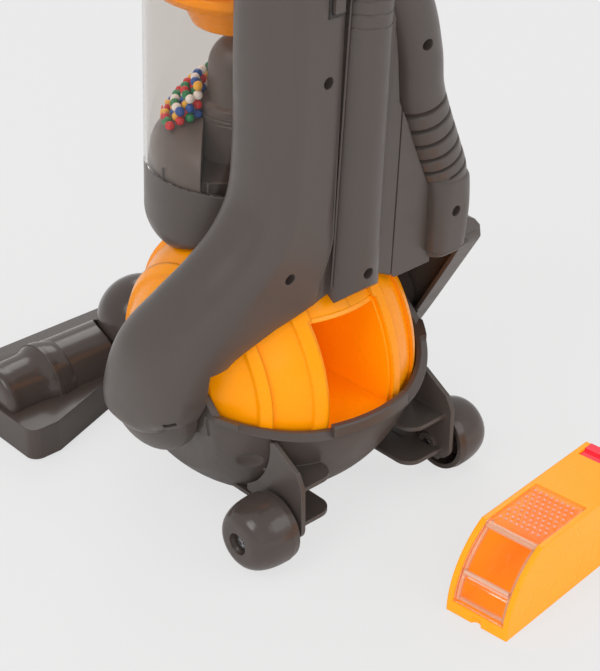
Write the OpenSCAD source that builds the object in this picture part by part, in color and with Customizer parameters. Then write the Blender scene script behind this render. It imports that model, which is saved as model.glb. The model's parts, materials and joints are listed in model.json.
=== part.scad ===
// Toy upright vacuum cleaner with an orange ball, a clear bin and a pull-out dust drawer.
// Millimetres, +Z up. The origin is on the floor under the middle of the ball.
// The floor head is at -Y, the dust drawer comes out at +Y.

/* [Ball] */
// Radius of the orange ball
ball_r = 76; // [74:0.5:77]
// Height of the ball's centre, which is the recline axis
ball_z = 74; // [73:0.5:76]
// Distance from the middle to the ball's flat ends
ball_half = 68; // [62:1:70]
// Wall of the ball's shells
ball_wall = 2.4; // [1.6:0.2:3.6]
// How far the raised bands stand out
band_rise = 2; // [1:0.25:2.2]
// Width of the band beside the drawer slot
inner_band_w = 8.5; // [5:0.5:10]
// Middle of the outer band, from the slot's middle
outer_band_x = 48.6; // [44:0.2:52]
// Width of the outer band
outer_band_w = 4.8; // [4:0.2:7]

/* [Drawer slot] */
// Clear width of the drawer slot
slot_w = 39.4; // [38:0.2:42]
// Distance of the slot's middle from the ball's middle
slot_x = 3.9; // [0:0.1:5]
// Height of the slot's floor
slot_floor = 62; // [61:0.5:64]
// Clear height of the slot
slot_h = 55; // [46:0.5:56]
// Distance from the ball's middle to the slot's back wall
slot_back = 52; // [48:1:54]
// Wall of the slot's liner
slot_wall = 2; // [1.2:0.2:3]

/* [Cradle] */
// Gap between the ball and the cradle bowl
bowl_gap = 2.6; // [2.4:0.1:3.4]
// Wall of the cradle bowl
bowl_wall = 2.2; // [2:0.2:3.6]
// Height of the underside of the bowl
bowl_bottom = 4; // [3:0.5:6]
// Height of the top of the rim, at the rear
rim_top = 64; // [62:0.5:66]
// How far the rim rises towards the ears
rim_rise = 12; // [8:0.5:14]
// Outer radius of the rim
rim_r = 84.5; // [83:0.5:86]
// Thickness of the rim band
rim_depth = 3.4; // [2.4:0.2:5]
// Distance from the middle to the outer face of the ears
ear_out = 73; // [72:0.5:74]
// Thickness of the ears that carry the recline pins
ear_t = 4; // [3:0.5:5]
// Height of the ears above the recline axis
ear_rise = 24; // [20:1:26]
// Radius of the recline pins
pin_r = 7; // [5:0.5:9]
// Length of the recline pins outside the ears
pin_len = 15; // [12:1:16]
// Side of the battery door, along X
door_w = 54; // [50:1:56]
// Side of the battery door, along Y
door_l = 48; // [46:1:50]

/* [Rear legs and wheels] */
// Middle of each leg plate, from the ball's middle
leg_x = 53.5; // [50:0.5:56]
// Thickness of the leg plates
leg_t = 2.6; // [2:0.2:4]
// Rear edge of the leg plates
leg_y = 85.5; // [84:0.5:90]
// Largest radius of a rear wheel
wheel_r = 19.3; // [17:0.1:20]
// Length of a rear wheel
wheel_len = 25.5; // [22:0.5:30]
// Distance of the wheel axles behind the ball's middle
axle_y = 70; // [66:0.5:72]
// Radius of the wheel axles
axle_r = 3; // [2:0.25:4]
// Gap between a leg plate and its wheel
wheel_gap = 3.6; // [1:0.2:5]

/* [Neck and floor head] */
// Height of the neck's roll axis
neck_z = 38; // [36:0.5:40]
// Radius of the neck's journal
neck_r = 15; // [12:0.5:16]
// Radius of the neck's hood
hood_r = 26.5; // [24:0.5:28]
// Distance of the hood in front of the ball's middle
hood_y = 115; // [113:0.5:118]
// Height of the hood's centre
hood_z = 38.5; // [37:0.5:42]
// Half width of the floor head
head_half = 104; // [98:1:112]
// Rear edge of the floor head, in front of the ball's middle
head_rear = 80; // [79:0.5:84]
// Front edge of the floor head
head_front = 166; // [162:1:174]
// Height of the flat rear deck
deck_z = 20.5; // [19:0.5:23]
// Distance of the cross tube in front of the ball's middle
tube_y = 122; // [119:0.5:124]
// Radius of the cross tube near the neck
tube_big = 21; // [19:0.5:23]
// Radius of the cross tube near the ends
tube_small = 16.5; // [14:0.5:18]
// Distance of the tube's step from the middle
tube_step_x = 67; // [60:1:74]
// Wall of the head's cover
head_wall = 2.2; // [1.6:0.2:3]
// Radius of the head's floor rollers
roller_r = 7; // [5:0.5:8]

/* [Bin] */
// Outer radius of the clear bin
bin_r = 47.6; // [45:0.2:48.4]
// Distance of the bin's axis in front of the recline axis
bin_y = 31; // [30:0.5:33]
// Wall of the clear bin
bin_wall = 1.8; // [1.2:0.1:2.4]
// Height of the cup's seam above the recline axis
bin_seam = 97.6; // [95:0.2:100]
// Length of the clear bin
bin_len = 138; // [130:1:150]
// Lowest point of the bin's cup above the recline axis
cup_bottom = 51; // [49:0.5:56]
// Radius of the lower column in the bin
column_r = 18.3; // [17:0.1:19]
// Radius of a loose bead
bead_r = 2.4; // [2:0.1:2.6]

/* [Upright body] */
// Backward lean of the upright when it stands, in degrees
lean = 3.4; // [2:0.2:5]
// Radius of the wand sleeve near the ball
sleeve_low_r = 16.2; // [15:0.1:16.4]
// Radius of the wand sleeve at its top
sleeve_top_r = 12.4; // [12.2:0.1:14]
// Distance of the wand behind the recline axis
wand_y = 53; // [52:0.5:54]
// Distance of the wand from the middle, across the machine
wand_x = -1.6; // [-2:0.2:0]
// Height of the sleeve's top above the recline axis
sleeve_top = 330; // [324:1:340]
// Radius of the wand
wand_r = 10.5; // [8:0.5:11.5]
// Height of the middle of the loop handle above the recline axis
loop_z = 556; // [540:1:580]
// Radius of the loop handle's middle line
loop_r = 36; // [32:1:40]
// Radius of the loop handle's bar
loop_bar_r = 9; // [7:0.5:10]
// Wall of the moulded ducts
duct_wall = 2.4; // [1.6:0.2:3]
// Gap between the upright and the ball's bands
arch_gap = 3.4; // [3:0.1:4]
// Slope of the rear covers' lower edge above the recline axis, in degrees
arch_slope = 43.5; // [40:0.5:46]
// Radius of the left hub
hub_r = 31; // [29:0.5:33]
// Radius of the right hub
right_hub_r = 21; // [18:0.5:22]
// Radius of the ribbed side hose
hose_r = 14.5; // [13:0.25:15]
// Number of grooves round the side hose
hose_grooves = 6; // [3:1:8]
// Radius of the cover screws' holes
screw_hole_r = 3; // [2.4:0.1:3.4]

/* [Drawer] */
// Width of the dust drawer
drawer_w = 36.2; // [34:0.2:38]
// Height of the dust drawer
drawer_h = 42; // [38:0.5:44]
// Length of the dust drawer
drawer_len = 114; // [106:1:118]
// Wall of the dust drawer
drawer_wall = 2; // [1.4:0.2:3]
// Radius of the drawer's rounded front
drawer_nose_r = 48; // [46:1:60]
// Length of the perforated lid
lid_len = 41; // [36:1:46]
// Rows of holes across the lid
lid_rows = 8; // [5:1:9]
// Rows of holes along the lid
lid_cols = 9; // [5:1:10]
// Drawer's front corner on the floor, across the machine
drawer_x = 25.4; // [0:1:60]
// Drawer's front corner on the floor, behind the ball
drawer_y = 158.4; // [150:1:200]
// Heading of the drawer on the floor, in degrees
drawer_turn = 185.2; // [170:0.2:200]

/* [Hidden] */

$fn = 64;
// Radial running fit of a shaft in its bore
fit = 0.06;
// Gap between pieces that move past each other
run_gap = 0.5;
// Reach of a cutting tool past the faces that it opens
over = 1;
// Size of a cutting block that has to pass the whole toy
big = 400;

grey = "#58524e";
dark_grey = "#4b4442";
orange = "#ffa514";
clear = "#dfe4e6";
steel = "#b8bcc0";

bowl_in = ball_r + bowl_gap;
bowl_out = bowl_in + bowl_wall;
bowl_floor = bowl_bottom + bowl_wall;
ear_in = ear_out - ear_t;
ball_end = min(ball_half, ear_in - 0.8);
hub_in = ear_out + 2;
ear_sweep_r = 50;
arch_r = ball_r + band_rise + arch_gap;
leg_face = leg_x + leg_t / 2;
wheel_in = leg_face + wheel_gap;
slot_top = slot_floor + slot_h;
bin_top = bin_seam + bin_len;

// Lays a shape drawn along +Z along +X instead
module along_x() {
  rotate([0, 90, 0]) children();
}

// Lays a shape drawn along +Z along +Y instead
module along_y() {
  rotate([-90, 0, 0]) children();
}

// Extrudes an outline drawn in Y and Z along X, from x to x + t
module plate_x(x, t) {
  translate([x, 0, 0]) rotate([90, 0, 90]) linear_extrude(t) children();
}

// Extrudes an outline drawn in X and Z along Y, from y to y + t
module plate_y(y, t) {
  translate([0, y + t, 0]) rotate([90, 0, 0]) linear_extrude(t) children();
}

module both_sides() {
  children();
  mirror([1, 0, 0]) children();
}

// Moves the base frame to the recline axis and leans it back
module on_upright() {
  translate([0, 0, ball_z]) rotate([-lean, 0, 0]) children();
}

module at_ball() {
  translate([0, 0, ball_z]) children();
}

// A block from x0 to x1, y0 to y1 and z0 to z1
module block(x0, x1, y0, y1, z0, z1) {
  translate([x0, y0, z0]) cube([x1 - x0, y1 - y0, z1 - z0]);
}

// Points of a quarter of a rounded end: radius r at height 0, closing to r_end at height h
function dome_points(r, r_end, h, n, power) =
  [for (i = [0:n]) let (t = 90 * i / n)
    [r_end + (r - r_end) * pow(cos(t), 2 / power), h * pow(sin(t), 2 / power)]];

/* Ball and its insides */

// Half section of the ball: distance from the X axis along X, place along the axis along Y.
// The bands keep their distance from the slot's middle, which lies at offset
module ball_section(offset) {
  inner_x = offset + slot_w / 2 + 0.3;
  difference() {
    intersection() {
      union() {
        circle(ball_r);
        intersection() {
          circle(ball_r + band_rise);
          union() {
            translate([0, inner_x]) square([2 * ball_r, inner_band_w]);
            translate([0, offset + outer_band_x - outer_band_w / 2]) square([2 * ball_r, outer_band_w]);
          }
        }
      }
      square([2 * ball_r, ball_end]);
    }
    intersection() {
      circle(ball_r - ball_wall);
      translate([-ball_r, 0]) square([2 * ball_r, ball_end - ball_wall]);
    }
  }
}

module garage_outer() {
  half = slot_w / 2 + slot_wall;
  block(slot_x - half, slot_x + half, -slot_back - slot_wall, ball_r + over,
        slot_floor - slot_wall, slot_top + slot_wall);
}

// What the ball's halves give way to: the slot's liner, the bowl's floor and sides, the battery box
// and the neck's socket
module ball_cuts() {
  garage_outer();
  side = ear_in - 0.4;
  both_sides() plate_y(-big / 2, big) polygon([[side, rim_top + rim_rise],
    [side - side_draft + 1, bowl_floor], [side, bowl_floor], [big, bowl_floor], [big, rim_top + rim_rise]]);
  block(-big / 2, big / 2, -big / 2, big / 2, -big / 2, bowl_floor + 0.3);
  block(-box_half_x - 0.4, box_half_x + 0.4, -box_half_y - 0.4, box_half_y + 0.4, 0, cell_z + 2 * cell_r);
  translate([0, -neck_boss_front, neck_z]) along_y()
    cylinder(r = neck_r + neck_boss_t + run_gap, h = 40);
}

module ball_left() {
  color(orange) difference() {
    at_ball() along_x() rotate_extrude() ball_section(slot_x);
    ball_cuts();
  }
}

module ball_right() {
  color(orange) difference() {
    at_ball() mirror([1, 0, 0]) along_x() rotate_extrude() ball_section(-slot_x);
    ball_cuts();
  }
}

// Liner that the drawer slides into, open at the rear
module drawer_garage() {
  color("#f58200")
  difference() {
    intersection() {
      garage_outer();
      at_ball() sphere(ball_r - 0.3);
    }
    block(slot_x - slot_w / 2, slot_x + slot_w / 2, -slot_back, ball_r + 2 * over, slot_floor, slot_top);
    // Air passes from the drawer's lid up to the fan
    translate([0, 0, slot_top - over]) cylinder(r = fan_inlet_r, h = slot_wall + 2 * over);
    // Dust comes in from the neck at the bottom of the back wall
    block(slot_x - slot_w / 4, slot_x + slot_w / 4, -slot_back - slot_wall - over, -slot_back + over,
          slot_floor + 4, slot_floor + 18);
  }
}

fan_inlet_r = 12;
fan_r = 24;
fan_gap = 2;
fan_h = 7;
fan_wall = 1.6;
motor_r = 11;
motor_h = 13.5;
shaft_r = 1.5;
garage_roof = slot_top + slot_wall;
fan_base = garage_roof + 1;
housing_top = fan_base + fan_h + 1;

module fan_housing() {
  color(dark_grey)
  difference() {
    translate([0, 0, garage_roof])
      cylinder(r = fan_r + fan_gap + fan_wall, h = housing_top + fan_wall - garage_roof);
    translate([0, 0, garage_roof - over])
      cylinder(r = fan_r + fan_gap, h = housing_top + over - garage_roof);
    translate([0, 0, garage_roof]) cylinder(r = shaft_r + run_gap, h = 4 * fan_h);
    // Way out for the air at the front
    block(-9, 9, -fan_r - 4 * fan_gap, -fan_r / 2, garage_roof + 2, housing_top - 1);
  }
}

module suction_motor() {
  base = housing_top + fan_wall;
  color(steel)
  difference() {
    translate([0, 0, base]) cylinder(r = motor_r, h = motor_h);
    translate([0, 0, base - over]) cylinder(r = shaft_r + fit, h = motor_h - 3 + over);
  }
}

module suction_fan() {
  blades = 8;
  color("white") {
    difference() {
      translate([0, 0, fan_base]) cylinder(r = fan_r, h = 1.2);
      translate([0, 0, fan_base - over]) cylinder(r = fan_inlet_r - 2, h = 1.2 + 2 * over);
    }
    translate([0, 0, fan_base + fan_h - 1.2]) cylinder(r = fan_r, h = 1.2);
    for (i = [0:blades - 1]) rotate(i * 360 / blades)
      block(fan_inlet_r - 1, fan_r - 1, -0.6, 0.6, fan_base + 0.6, fan_base + fan_h - 0.6);
    translate([0, 0, fan_base + fan_h - 1.2]) cylinder(r = shaft_r, h = 2.2 + fan_wall + motor_h - 5);
  }
}

cell_r = 7.2;
cell_l = 50;
cell_count = 3;
cell_pitch = 2 * cell_r + 0.6;
box_wall = 1.6;
cell_z = bowl_floor + cell_r + 0.4;
box_half_x = cell_l / 2 + 1 + box_wall;
box_half_y = cell_pitch * cell_count / 2 + 0.4 + box_wall;

module battery_box() {
  in_x = box_half_x - box_wall;
  in_y = box_half_y - box_wall;
  top = cell_z + cell_r + 0.4;
  color(dark_grey)
  difference() {
    block(-box_half_x, box_half_x, -box_half_y, box_half_y, bowl_floor, top + box_wall);
    block(-in_x, in_x, -in_y, in_y, bowl_floor - over, top);
  }
}

module batteries() {
  color("#c9a24a")
  for (i = [0:cell_count - 1])
  translate([-cell_l / 2, (i - (cell_count - 1) / 2) * cell_pitch, cell_z]) {
    along_x() cylinder(r = cell_r, h = cell_l - 1);
    along_x() cylinder(r = 2.6, h = cell_l);
  }
}

door_gap = 0.3;
door_screw_y = door_l / 2 - 4;

module battery_door() {
  color(grey)
  difference() {
    block(-door_w / 2, door_w / 2, -door_l / 2, door_l / 2, bowl_bottom, bowl_floor);
    translate([0, door_screw_y, bowl_bottom - over]) cylinder(r = 1.5, h = bowl_wall + 2 * over);
  }
}

module door_screw() {
  color(steel) {
    translate([0, door_screw_y, bowl_bottom - 0.8]) cylinder(r = 2.6, h = 0.8);
    translate([0, door_screw_y, bowl_bottom - 0.8]) cylinder(r = 1.5, h = 0.8 + bowl_wall);
  }
}

/* Cradle, legs and wheels */

neck_boss_t = 4;
neck_boss_front = 84;
neck_boss_len = 28;

// Height of the rim at a distance x from the middle
function rim_z(x) = rim_top + rim_rise * pow(abs(x) / ear_out, 3);

// Everything between two heights that both follow the rim, d0 and d1 below its top
module under_rim(d0, d1) {
  steps = 12;
  xs = [for (i = [-steps:steps]) ear_out * i / steps];
  n = 2 * steps;
  plate_y(-big / 2, big) polygon(concat(
    [for (i = [0:n]) [xs[i], rim_z(xs[i]) - d0]],
    [for (i = [n:-1:0]) [xs[i], rim_z(xs[i]) - d1]]));
}

side_draft = 12;
// Length of the axle boss on the inner face of a leg plate
boss_in = 3;

module bowl_body() {
  intersection() {
    at_ball() sphere(bowl_out);
    under_rim(0.4, rim_top + rim_rise);
    // Flat sides that lean in towards the floor
    plate_y(-big / 2, big) polygon([[-ear_out, rim_top + rim_rise], [ear_out, rim_top + rim_rise],
      [ear_out - side_draft, bowl_bottom], [-ear_out + side_draft, bowl_bottom]]);
  }
}

// Band round the top of the bowl, rising towards the ears
module rim() {
  intersection() {
    under_rim(0, rim_depth);
    difference() {
      cylinder(r = rim_r, h = big);
      translate([0, 0, -over]) cylinder(r = bowl_in - 0.2, h = big + 2 * over);
    }
  }
}

// Rounded wall beside the ball, in Y and Z
module ear_outline() {
  half = sqrt(rim_r * rim_r - ear_out * ear_out) - 0.4;
  top = ball_z + ear_rise;
  shoulder = [[1, rim_top + rim_rise - 2.3], [0.83, top - 17], [0.72, top - 13], [0.45, top - 5.5],
              [0.18, top]];
  n = len(shoulder) - 1;
  foot = half * 0.8;
  step_z = rim_top + rim_rise - rim_depth + 0.6;
  polygon(concat([[-half, step_z], [-foot, step_z], [-foot, rim_top - 4], [foot, rim_top - 4],
                  [foot, step_z], [half, step_z]],
    [for (p = shoulder) [half * p[0], p[1]]],
    [for (i = [n:-1:0]) [-half * shoulder[i][0], shoulder[i][1]]]));
}

module leg_outline() {
  tip_r = 8;
  tip_z = wheel_r + 2;
  corner = 10;
  hollow_r = 36;
  difference() {
    polygon([[axle_y - 26, rim_top - 4], [leg_y - 21, rim_top - 0.5], [leg_y - 4, rim_top - 8 - corner / 4],
             [leg_y, rim_top - 8 - corner], [leg_y, tip_z], [axle_y, tip_z], [axle_y - 26, tip_z + 4]]);
    // Hollow front edge beside the bowl
    translate([axle_y - 8 - hollow_r, rim_top - 4]) circle(hollow_r);
  }
  translate([leg_y - tip_r, tip_z]) circle(tip_r);
  translate([axle_y, wheel_r]) circle(tip_r);
  translate([axle_y, wheel_r - tip_r]) square([leg_y - tip_r - axle_y, 2 * tip_r]);
}

module leg_shelf(z, reach) {
  tip_r = 9;
  t = 2.2;
  inner_x = 27;
  outer_y = 58;
  translate([0, 0, z - t / 2]) linear_extrude(t) {
    translate([inner_x + tip_r, outer_y]) square([leg_x - inner_x - tip_r, reach - outer_y]);
    translate([inner_x, 40]) square([leg_x - inner_x - tip_r, reach - 40 - tip_r]);
    translate([inner_x + tip_r, reach - tip_r]) circle(tip_r);
  }
}

// Socket that the neck's journal turns in
module neck_boss() {
  translate([0, -neck_boss_front, neck_z]) along_y()
    cylinder(r = neck_r + neck_boss_t, h = neck_boss_len);
}

module cradle() {
  color(grey)
  difference() {
    union() {
      bowl_body();
      rim();
      both_sides() {
        plate_x(ear_in, ear_t) ear_outline();
        translate([ear_out - over, 0, ball_z]) along_x() cylinder(r = pin_r, h = pin_len + over);
        plate_x(leg_x - leg_t / 2, leg_t) leg_outline();
        leg_shelf(41, 81);
        leg_shelf(19, 80);
        // Boss that holds the wheel's axle
        translate([leg_x - boss_in, axle_y, wheel_r]) along_x() cylinder(r = axle_r + 3, h = boss_in);
      }
      neck_boss();
    }
    // Hollow for the ball
    difference() {
      intersection() {
        at_ball() sphere(bowl_in);
        plate_y(-big / 2, big) polygon([[-ear_in, big], [ear_in, big], [ear_in, rim_top + rim_rise],
          [ear_in - side_draft + 1, bowl_floor], [-ear_in + side_draft - 1, bowl_floor],
          [-ear_in, rim_top + rim_rise]]);
      }
      neck_boss();
    }
    translate([0, -neck_boss_front - over, neck_z]) along_y()
      cylinder(r = neck_r + fit, h = neck_boss_len + 2 * over);
    both_sides() {
      translate([leg_x - boss_in - over, axle_y, wheel_r]) along_x() cylinder(r = axle_r, h = 12);
    }
    block(-door_w / 2 - door_gap, door_w / 2 + door_gap, -door_l / 2 - door_gap, door_l / 2 + door_gap,
          bowl_bottom - over, bowl_floor + over);
  }
}

// Wheel on the +X side, with its hollow facing the leg plate
module wheel() {
  rim_flat = 4;
  recess_r = 6;
  recess = 6;
  end_r = recess_r + 2;
  hollow_r = wheel_r - 3.4;
  hollow = wheel_len * 0.55;
  color(dark_grey)
  translate([wheel_in, axle_y, wheel_r]) along_x()
  difference() {
    rotate_extrude() polygon(concat([[0, 0]], [[wheel_r - 0.8, 0]],
      [for (p = dome_points(wheel_r, end_r, wheel_len - rim_flat, 12, 2.5)) [p[0], p[1] + rim_flat]],
      [[0, wheel_len]]));
    difference() {
      translate([0, 0, -over]) cylinder(r = hollow_r, h = hollow + over);
      translate([0, 0, -2 * over]) cylinder(r = axle_r + 4, h = hollow + 3 * over);
    }
    translate([0, 0, -over]) cylinder(r = axle_r + fit, h = wheel_len + 2 * over);
    translate([0, 0, wheel_len - recess]) cylinder(r = recess_r, h = recess + over);
  }
}

module wheel_left() {
  wheel();
}

module wheel_right() {
  mirror([1, 0, 0]) wheel();
}

module axle_screws() {
  head_at = wheel_in + wheel_len - 6 + 0.4;
  reach = head_at - leg_x + boss_in;
  color(steel) both_sides() translate([leg_x - boss_in, axle_y, wheel_r]) difference() {
    union() {
      along_x() cylinder(r = axle_r, h = reach + 0.6);
      translate([reach, 0, 0]) along_x() cylinder(r = axle_r + 1.8, h = 1.8);
    }
    translate([reach + 1, 0, 0]) along_x() cube([1, 5, 3], center = true);
    translate([reach + 1, 0, 0]) along_x() cube([5, 1, 3], center = true);
  }
}

/* Neck and floor head */

pitch_z = 27;
pivot_r = 5;
pivot_reach = 40;

module neck() {
  journal_end = -neck_boss_front + neck_boss_len;
  color(dark_grey)
  difference() {
    union() {
      translate([0, -hood_y, neck_z]) along_y() cylinder(r = neck_r, h = hood_y + journal_end);
      translate([0, -hood_y, hood_z]) sphere(hood_r);
      translate([-pivot_reach, -hood_y, pitch_z]) along_x() cylinder(r = pivot_r, h = 2 * pivot_reach);
    }
    // Air way through the neck
    translate([0, -hood_y - hood_r / 2, neck_z]) along_y() cylinder(r = neck_r - 3, h = hood_y + hood_r);
    translate([0, -hood_y, -over]) cylinder(r = neck_r - 3, h = neck_z + over);
    // Flat underside, clear of the sole
    block(-hood_r - over, hood_r + over, -hood_y - hood_r - over, -hood_y + hood_r + over,
          -over, pitch_z - pivot_r - 4);
  }
}

corner_r = 14;
floor_gap = 1.2;
sole_t = 2;
rear_notch_x = 36;
rear_notch_y = 98;

// Plan of the floor head, shrunk by an inset
module head_plan(inset) {
  half = head_half - inset;
  polygon([[half, -head_rear - inset], [half - 18, -head_rear - inset],
           [rear_notch_x, -rear_notch_y - inset], [-rear_notch_x, -rear_notch_y - inset],
           [-half + 18, -head_rear - inset], [-half, -head_rear - inset],
           [-half, -head_front + corner_r], [-half + corner_r - inset, -head_front + inset],
           [half - corner_r + inset, -head_front + inset], [half, -head_front + corner_r]]);
  both_sides() translate([head_half - corner_r, -head_front + corner_r]) circle(corner_r - inset);
}

// Raised front deck and the cross tube, as a solid grown by a step
module head_top(grow) {
  front_z = 27;
  deck_rear_z = 33;
  plate_x(-head_half + 1 - grow, 2 * head_half - 2 + 2 * grow)
    polygon([[-head_front + 4 - grow, 0], [-tube_y, 0], [-tube_y, deck_rear_z + grow],
             [-tube_y - 16, deck_rear_z + grow], [-head_front + 10, front_z + 2 + grow],
             [-head_front + 4 - grow, front_z - 3]]);
  translate([-head_half + 4 - grow, -tube_y, deck_z]) along_x()
    cylinder(r = tube_small + grow, h = 2 * head_half - 8 + 2 * grow);
  translate([-tube_step_x, -tube_y, deck_z]) along_x()
    cylinder(r = tube_big + grow, h = 2 * tube_step_x);
}

module head_cover() {
  color(dark_grey)
  difference() {
    union() {
      intersection() {
        union() {
          translate([0, 0, floor_gap]) linear_extrude(deck_z - floor_gap) head_plan(0);
          intersection() {
            head_top(0);
            translate([0, 0, floor_gap]) linear_extrude(big) head_plan(0);
          }
        }
        block(-big, big, -big, big, floor_gap, big);
      }
      for (x = [tube_step_x, head_half - 7]) both_sides()
        translate([x, -tube_y, deck_z]) along_x() intersection() {
          cylinder(r = (x == tube_step_x ? tube_big : tube_small) + 1.2, h = 3);
          block(-big, 0, -big, big, -over, 4);
        }
    }
    // Hollow inside
    intersection() {
      union() {
        translate([0, 0, -over]) linear_extrude(deck_z - head_wall + over) head_plan(head_wall);
        intersection() {
          head_top(-head_wall);
          translate([0, 0, -over]) linear_extrude(big) head_plan(head_wall);
        }
      }
      difference() {
        block(-big, big, -big, big, -over, big);
        // Bosses round the neck's pivot
        both_sides() {
          translate([hood_r + 3, -hood_y, pitch_z]) along_x()
            cylinder(r = pivot_r + 3, h = pivot_reach - hood_r - 1);
          block(hood_r + 3, pivot_reach + 2, -hood_y - 3, -hood_y + 3, pitch_z, big);
        }
      }
    }
    // Room for the neck's hood and its way back to the ball
    translate([0, -hood_y, hood_z]) sphere(hood_r + 2.4);
    block(-hood_r - 2, hood_r + 2, -hood_y, -head_rear + over, -over, big);
    translate([-pivot_reach - 1, -hood_y, pitch_z]) along_x()
      cylinder(r = pivot_r + fit, h = 2 * pivot_reach + 2);
  }
}

pad_x = 86;
pad_y = 92;
pad_r = 5;
roller_y = 146;
roller_half = 70;
roller_inner = 40;

module head_sole() {
  color(grey)
  difference() {
    translate([0, 0, floor_gap]) linear_extrude(sole_t) difference() {
      head_plan(head_wall + 0.3);
      translate([-hood_r - 2, -hood_y]) square([2 * hood_r + 4, hood_y - head_rear + 2]);
    }
    // Suction mouth
    block(-60, 60, -tube_y - 12, -tube_y + 2, -over, floor_gap + sole_t + over);
    both_sides() block(roller_inner - 1.5, roller_half + 1.5, -roller_y - roller_r, -roller_y + roller_r,
                       -over, floor_gap + sole_t + over);
  }
  // Glide pads under the rear corners
  color(grey) both_sides() translate([pad_x, -pad_y, 0]) cylinder(r = pad_r, h = floor_gap + sole_t / 2);
  // Bearing posts for the roller axle
  color(grey) both_sides() for (x = [roller_inner - 5.5, roller_half + 2.5]) difference() {
    block(x, x + 3, -roller_y - 4, -roller_y + 4, floor_gap + sole_t - 0.2, roller_r + 4);
    translate([x - over, -roller_y, roller_r]) along_x() cylinder(r = 2 + fit, h = 3 + 2 * over);
  }
}

module head_rollers() {
  color("#2b2928")
  translate([0, -roller_y, roller_r]) {
    translate([-roller_half - 7, 0, 0]) along_x() cylinder(r = 2, h = 2 * roller_half + 14);
    both_sides() translate([roller_inner, 0, 0]) along_x()
      cylinder(r = roller_r, h = roller_half - roller_inner);
  }
}

/* Swept tubes of the upright */

// Smooth curve through rows of numbers, at place s counted in rows
function curve(rows, s) =
  let (
    last = len(rows) - 1,
    i = min(floor(s), last - 1),
    f = s - i,
    a = rows[max(i - 1, 0)],
    b = rows[i],
    c = rows[i + 1],
    d = rows[min(i + 2, last)]
  )
  (2 * b + (c - a) * f + (2 * a - 5 * b + 4 * c - d) * f * f + (3 * b - 3 * c + d - a) * f * f * f) / 2;

function place(row) = [row[0], row[1], row[2]];
function unit(v) = v / norm(v);

// Direction of the curve at place s
function heading(rows, s) =
  unit(place(curve(rows, min(s + 0.05, len(rows) - 1))) - place(curve(rows, max(s - 0.05, 0))));

function signed_power(v, p) = sign(v) * pow(abs(v), p);

// Inner edge of the left duct at height z: straight beside the wand sleeve, then swinging outwards.
// The reach is how far the duct's rear flange covers the strip beside it
edge_swing = 9;
edge_swing_z = 104;
edge_swing_h = 42;
function duct_edge(z, reach) =
  let (f = min(max((edge_swing_z - z) / edge_swing_h, 0), 1))
  strip_half + 0.1 - reach + (edge_swing - flange_reach + reach) * f * f * (3 - 2 * f);

// One ring of a swept tube: a row holds x, y, z, then the half widths out, in, rear and front and
// the squareness of the inner rear corner. With a reach, no point lies inside the duct's edge
function tube_ring(rows, s, shrink, sides, reach) =
  let (
    row = curve(rows, s),
    t = heading(rows, s),
    rear = unit([0, 1, 0] - t[1] * t),
    out = cross(t, rear)
  )
  [for (j = [0:sides - 1])
    let (
      angle = 360 * (j + 0.5) / sides,
      c = cos(angle),
      w = sin(angle),
      power = 2 / (c < 0 && w > 0 ? row[7] : 2.3),
      p = ((c > 0 ? row[3] : row[4]) - shrink) * signed_power(c, power),
      q = ((w > 0 ? row[5] : row[6]) - shrink) * signed_power(w, power),
      at = place(row) + p * out + q * rear
    )
    [is_undef(reach) ? at[0] : max(at[0], duct_edge(at[2], reach) + shrink), at[1], at[2]]];

// A solid through rings of equal length
module skin(rings) {
  n = len(rings[0]);
  m = len(rings);
  points = [for (ring = rings) for (p = ring) p];
  ends = concat([[for (j = [n - 1:-1:0]) j]], [[for (j = [0:n - 1]) (m - 1) * n + j]]);
  sides = [for (i = [0:m - 2]) for (j = [0:n - 1])
    let (k = (j + 1) % n, a = i * n + j, b = i * n + k, c = (i + 1) * n + k, d = (i + 1) * n + j)
    each [[a, b, c], [a, c, d]]];
  polyhedron(points, concat(ends, sides), convexity = 6);
}

module swept_tube(rows, shrink, from, to, steps, sides, reach) {
  skin([for (i = [0:steps]) tube_ring(rows, from + (to - from) * i / steps, shrink, sides, reach)]);
}

// Middle line and half widths of the left duct, from its top down to the knee
duct_rows = [
  [34, 36, 306, 20, 23, 21.5, 20, 7],
  [34, 36, 250, 20, 23, 22, 20, 7],
  [34, 36, 190, 19.5, 23, 22.3, 20, 7],
  [34, 36, 140, 19, 23, 22.5, 20, 7],
  [36, 36, 110, 20, 25, 22.5, 21, 7],
  [45, 35, 86, 22, 44, 22.5, 23, 6],
  [58, 29, 66, 23, 38, 23, 23, 4],
  [70, 19, 47, 23.5, 26, 26, 23, 3],
  [79, 8, 27, 23, 23, 33, 24, 3],
  [83, 1, 5, 20, 20, 31, 24, 3],
  [83, 0, -7, 18, 18, 23, 22, 2.5],
  [83, 0, -17, 9, 10, 12, 12, 2.3]
];
duct_end = len(duct_rows) - 1;
duct_top = duct_rows[0][2];

hub_flat = 5;

// Left hub as a rounded barrel on the recline axis
module hub_barrel(grow) {
  dome = 15;
  translate([hub_in, 0, 0]) along_x() rotate_extrude()
    polygon(concat([[0, 0]], [[hub_r + grow, 0]],
      [for (p = dome_points(hub_r + grow, 10, dome + grow, 10, 1.7)) [p[0], p[1] + hub_flat]],
      [[0, hub_flat + dome + grow]]));
}

// Space that the cradle's ears sweep through while the upright reclines
module ear_room() {
  along_x() cylinder(r = ear_sweep_r, h = hub_in + 0.5);
}

module left_hub() {
  color(grey) on_upright() difference() {
    hub_barrel(0);
    translate([hub_in - over, 0, 0]) along_x() cylinder(r = pin_r + fit, h = pin_len + over + 0.5);
  }
}

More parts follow.
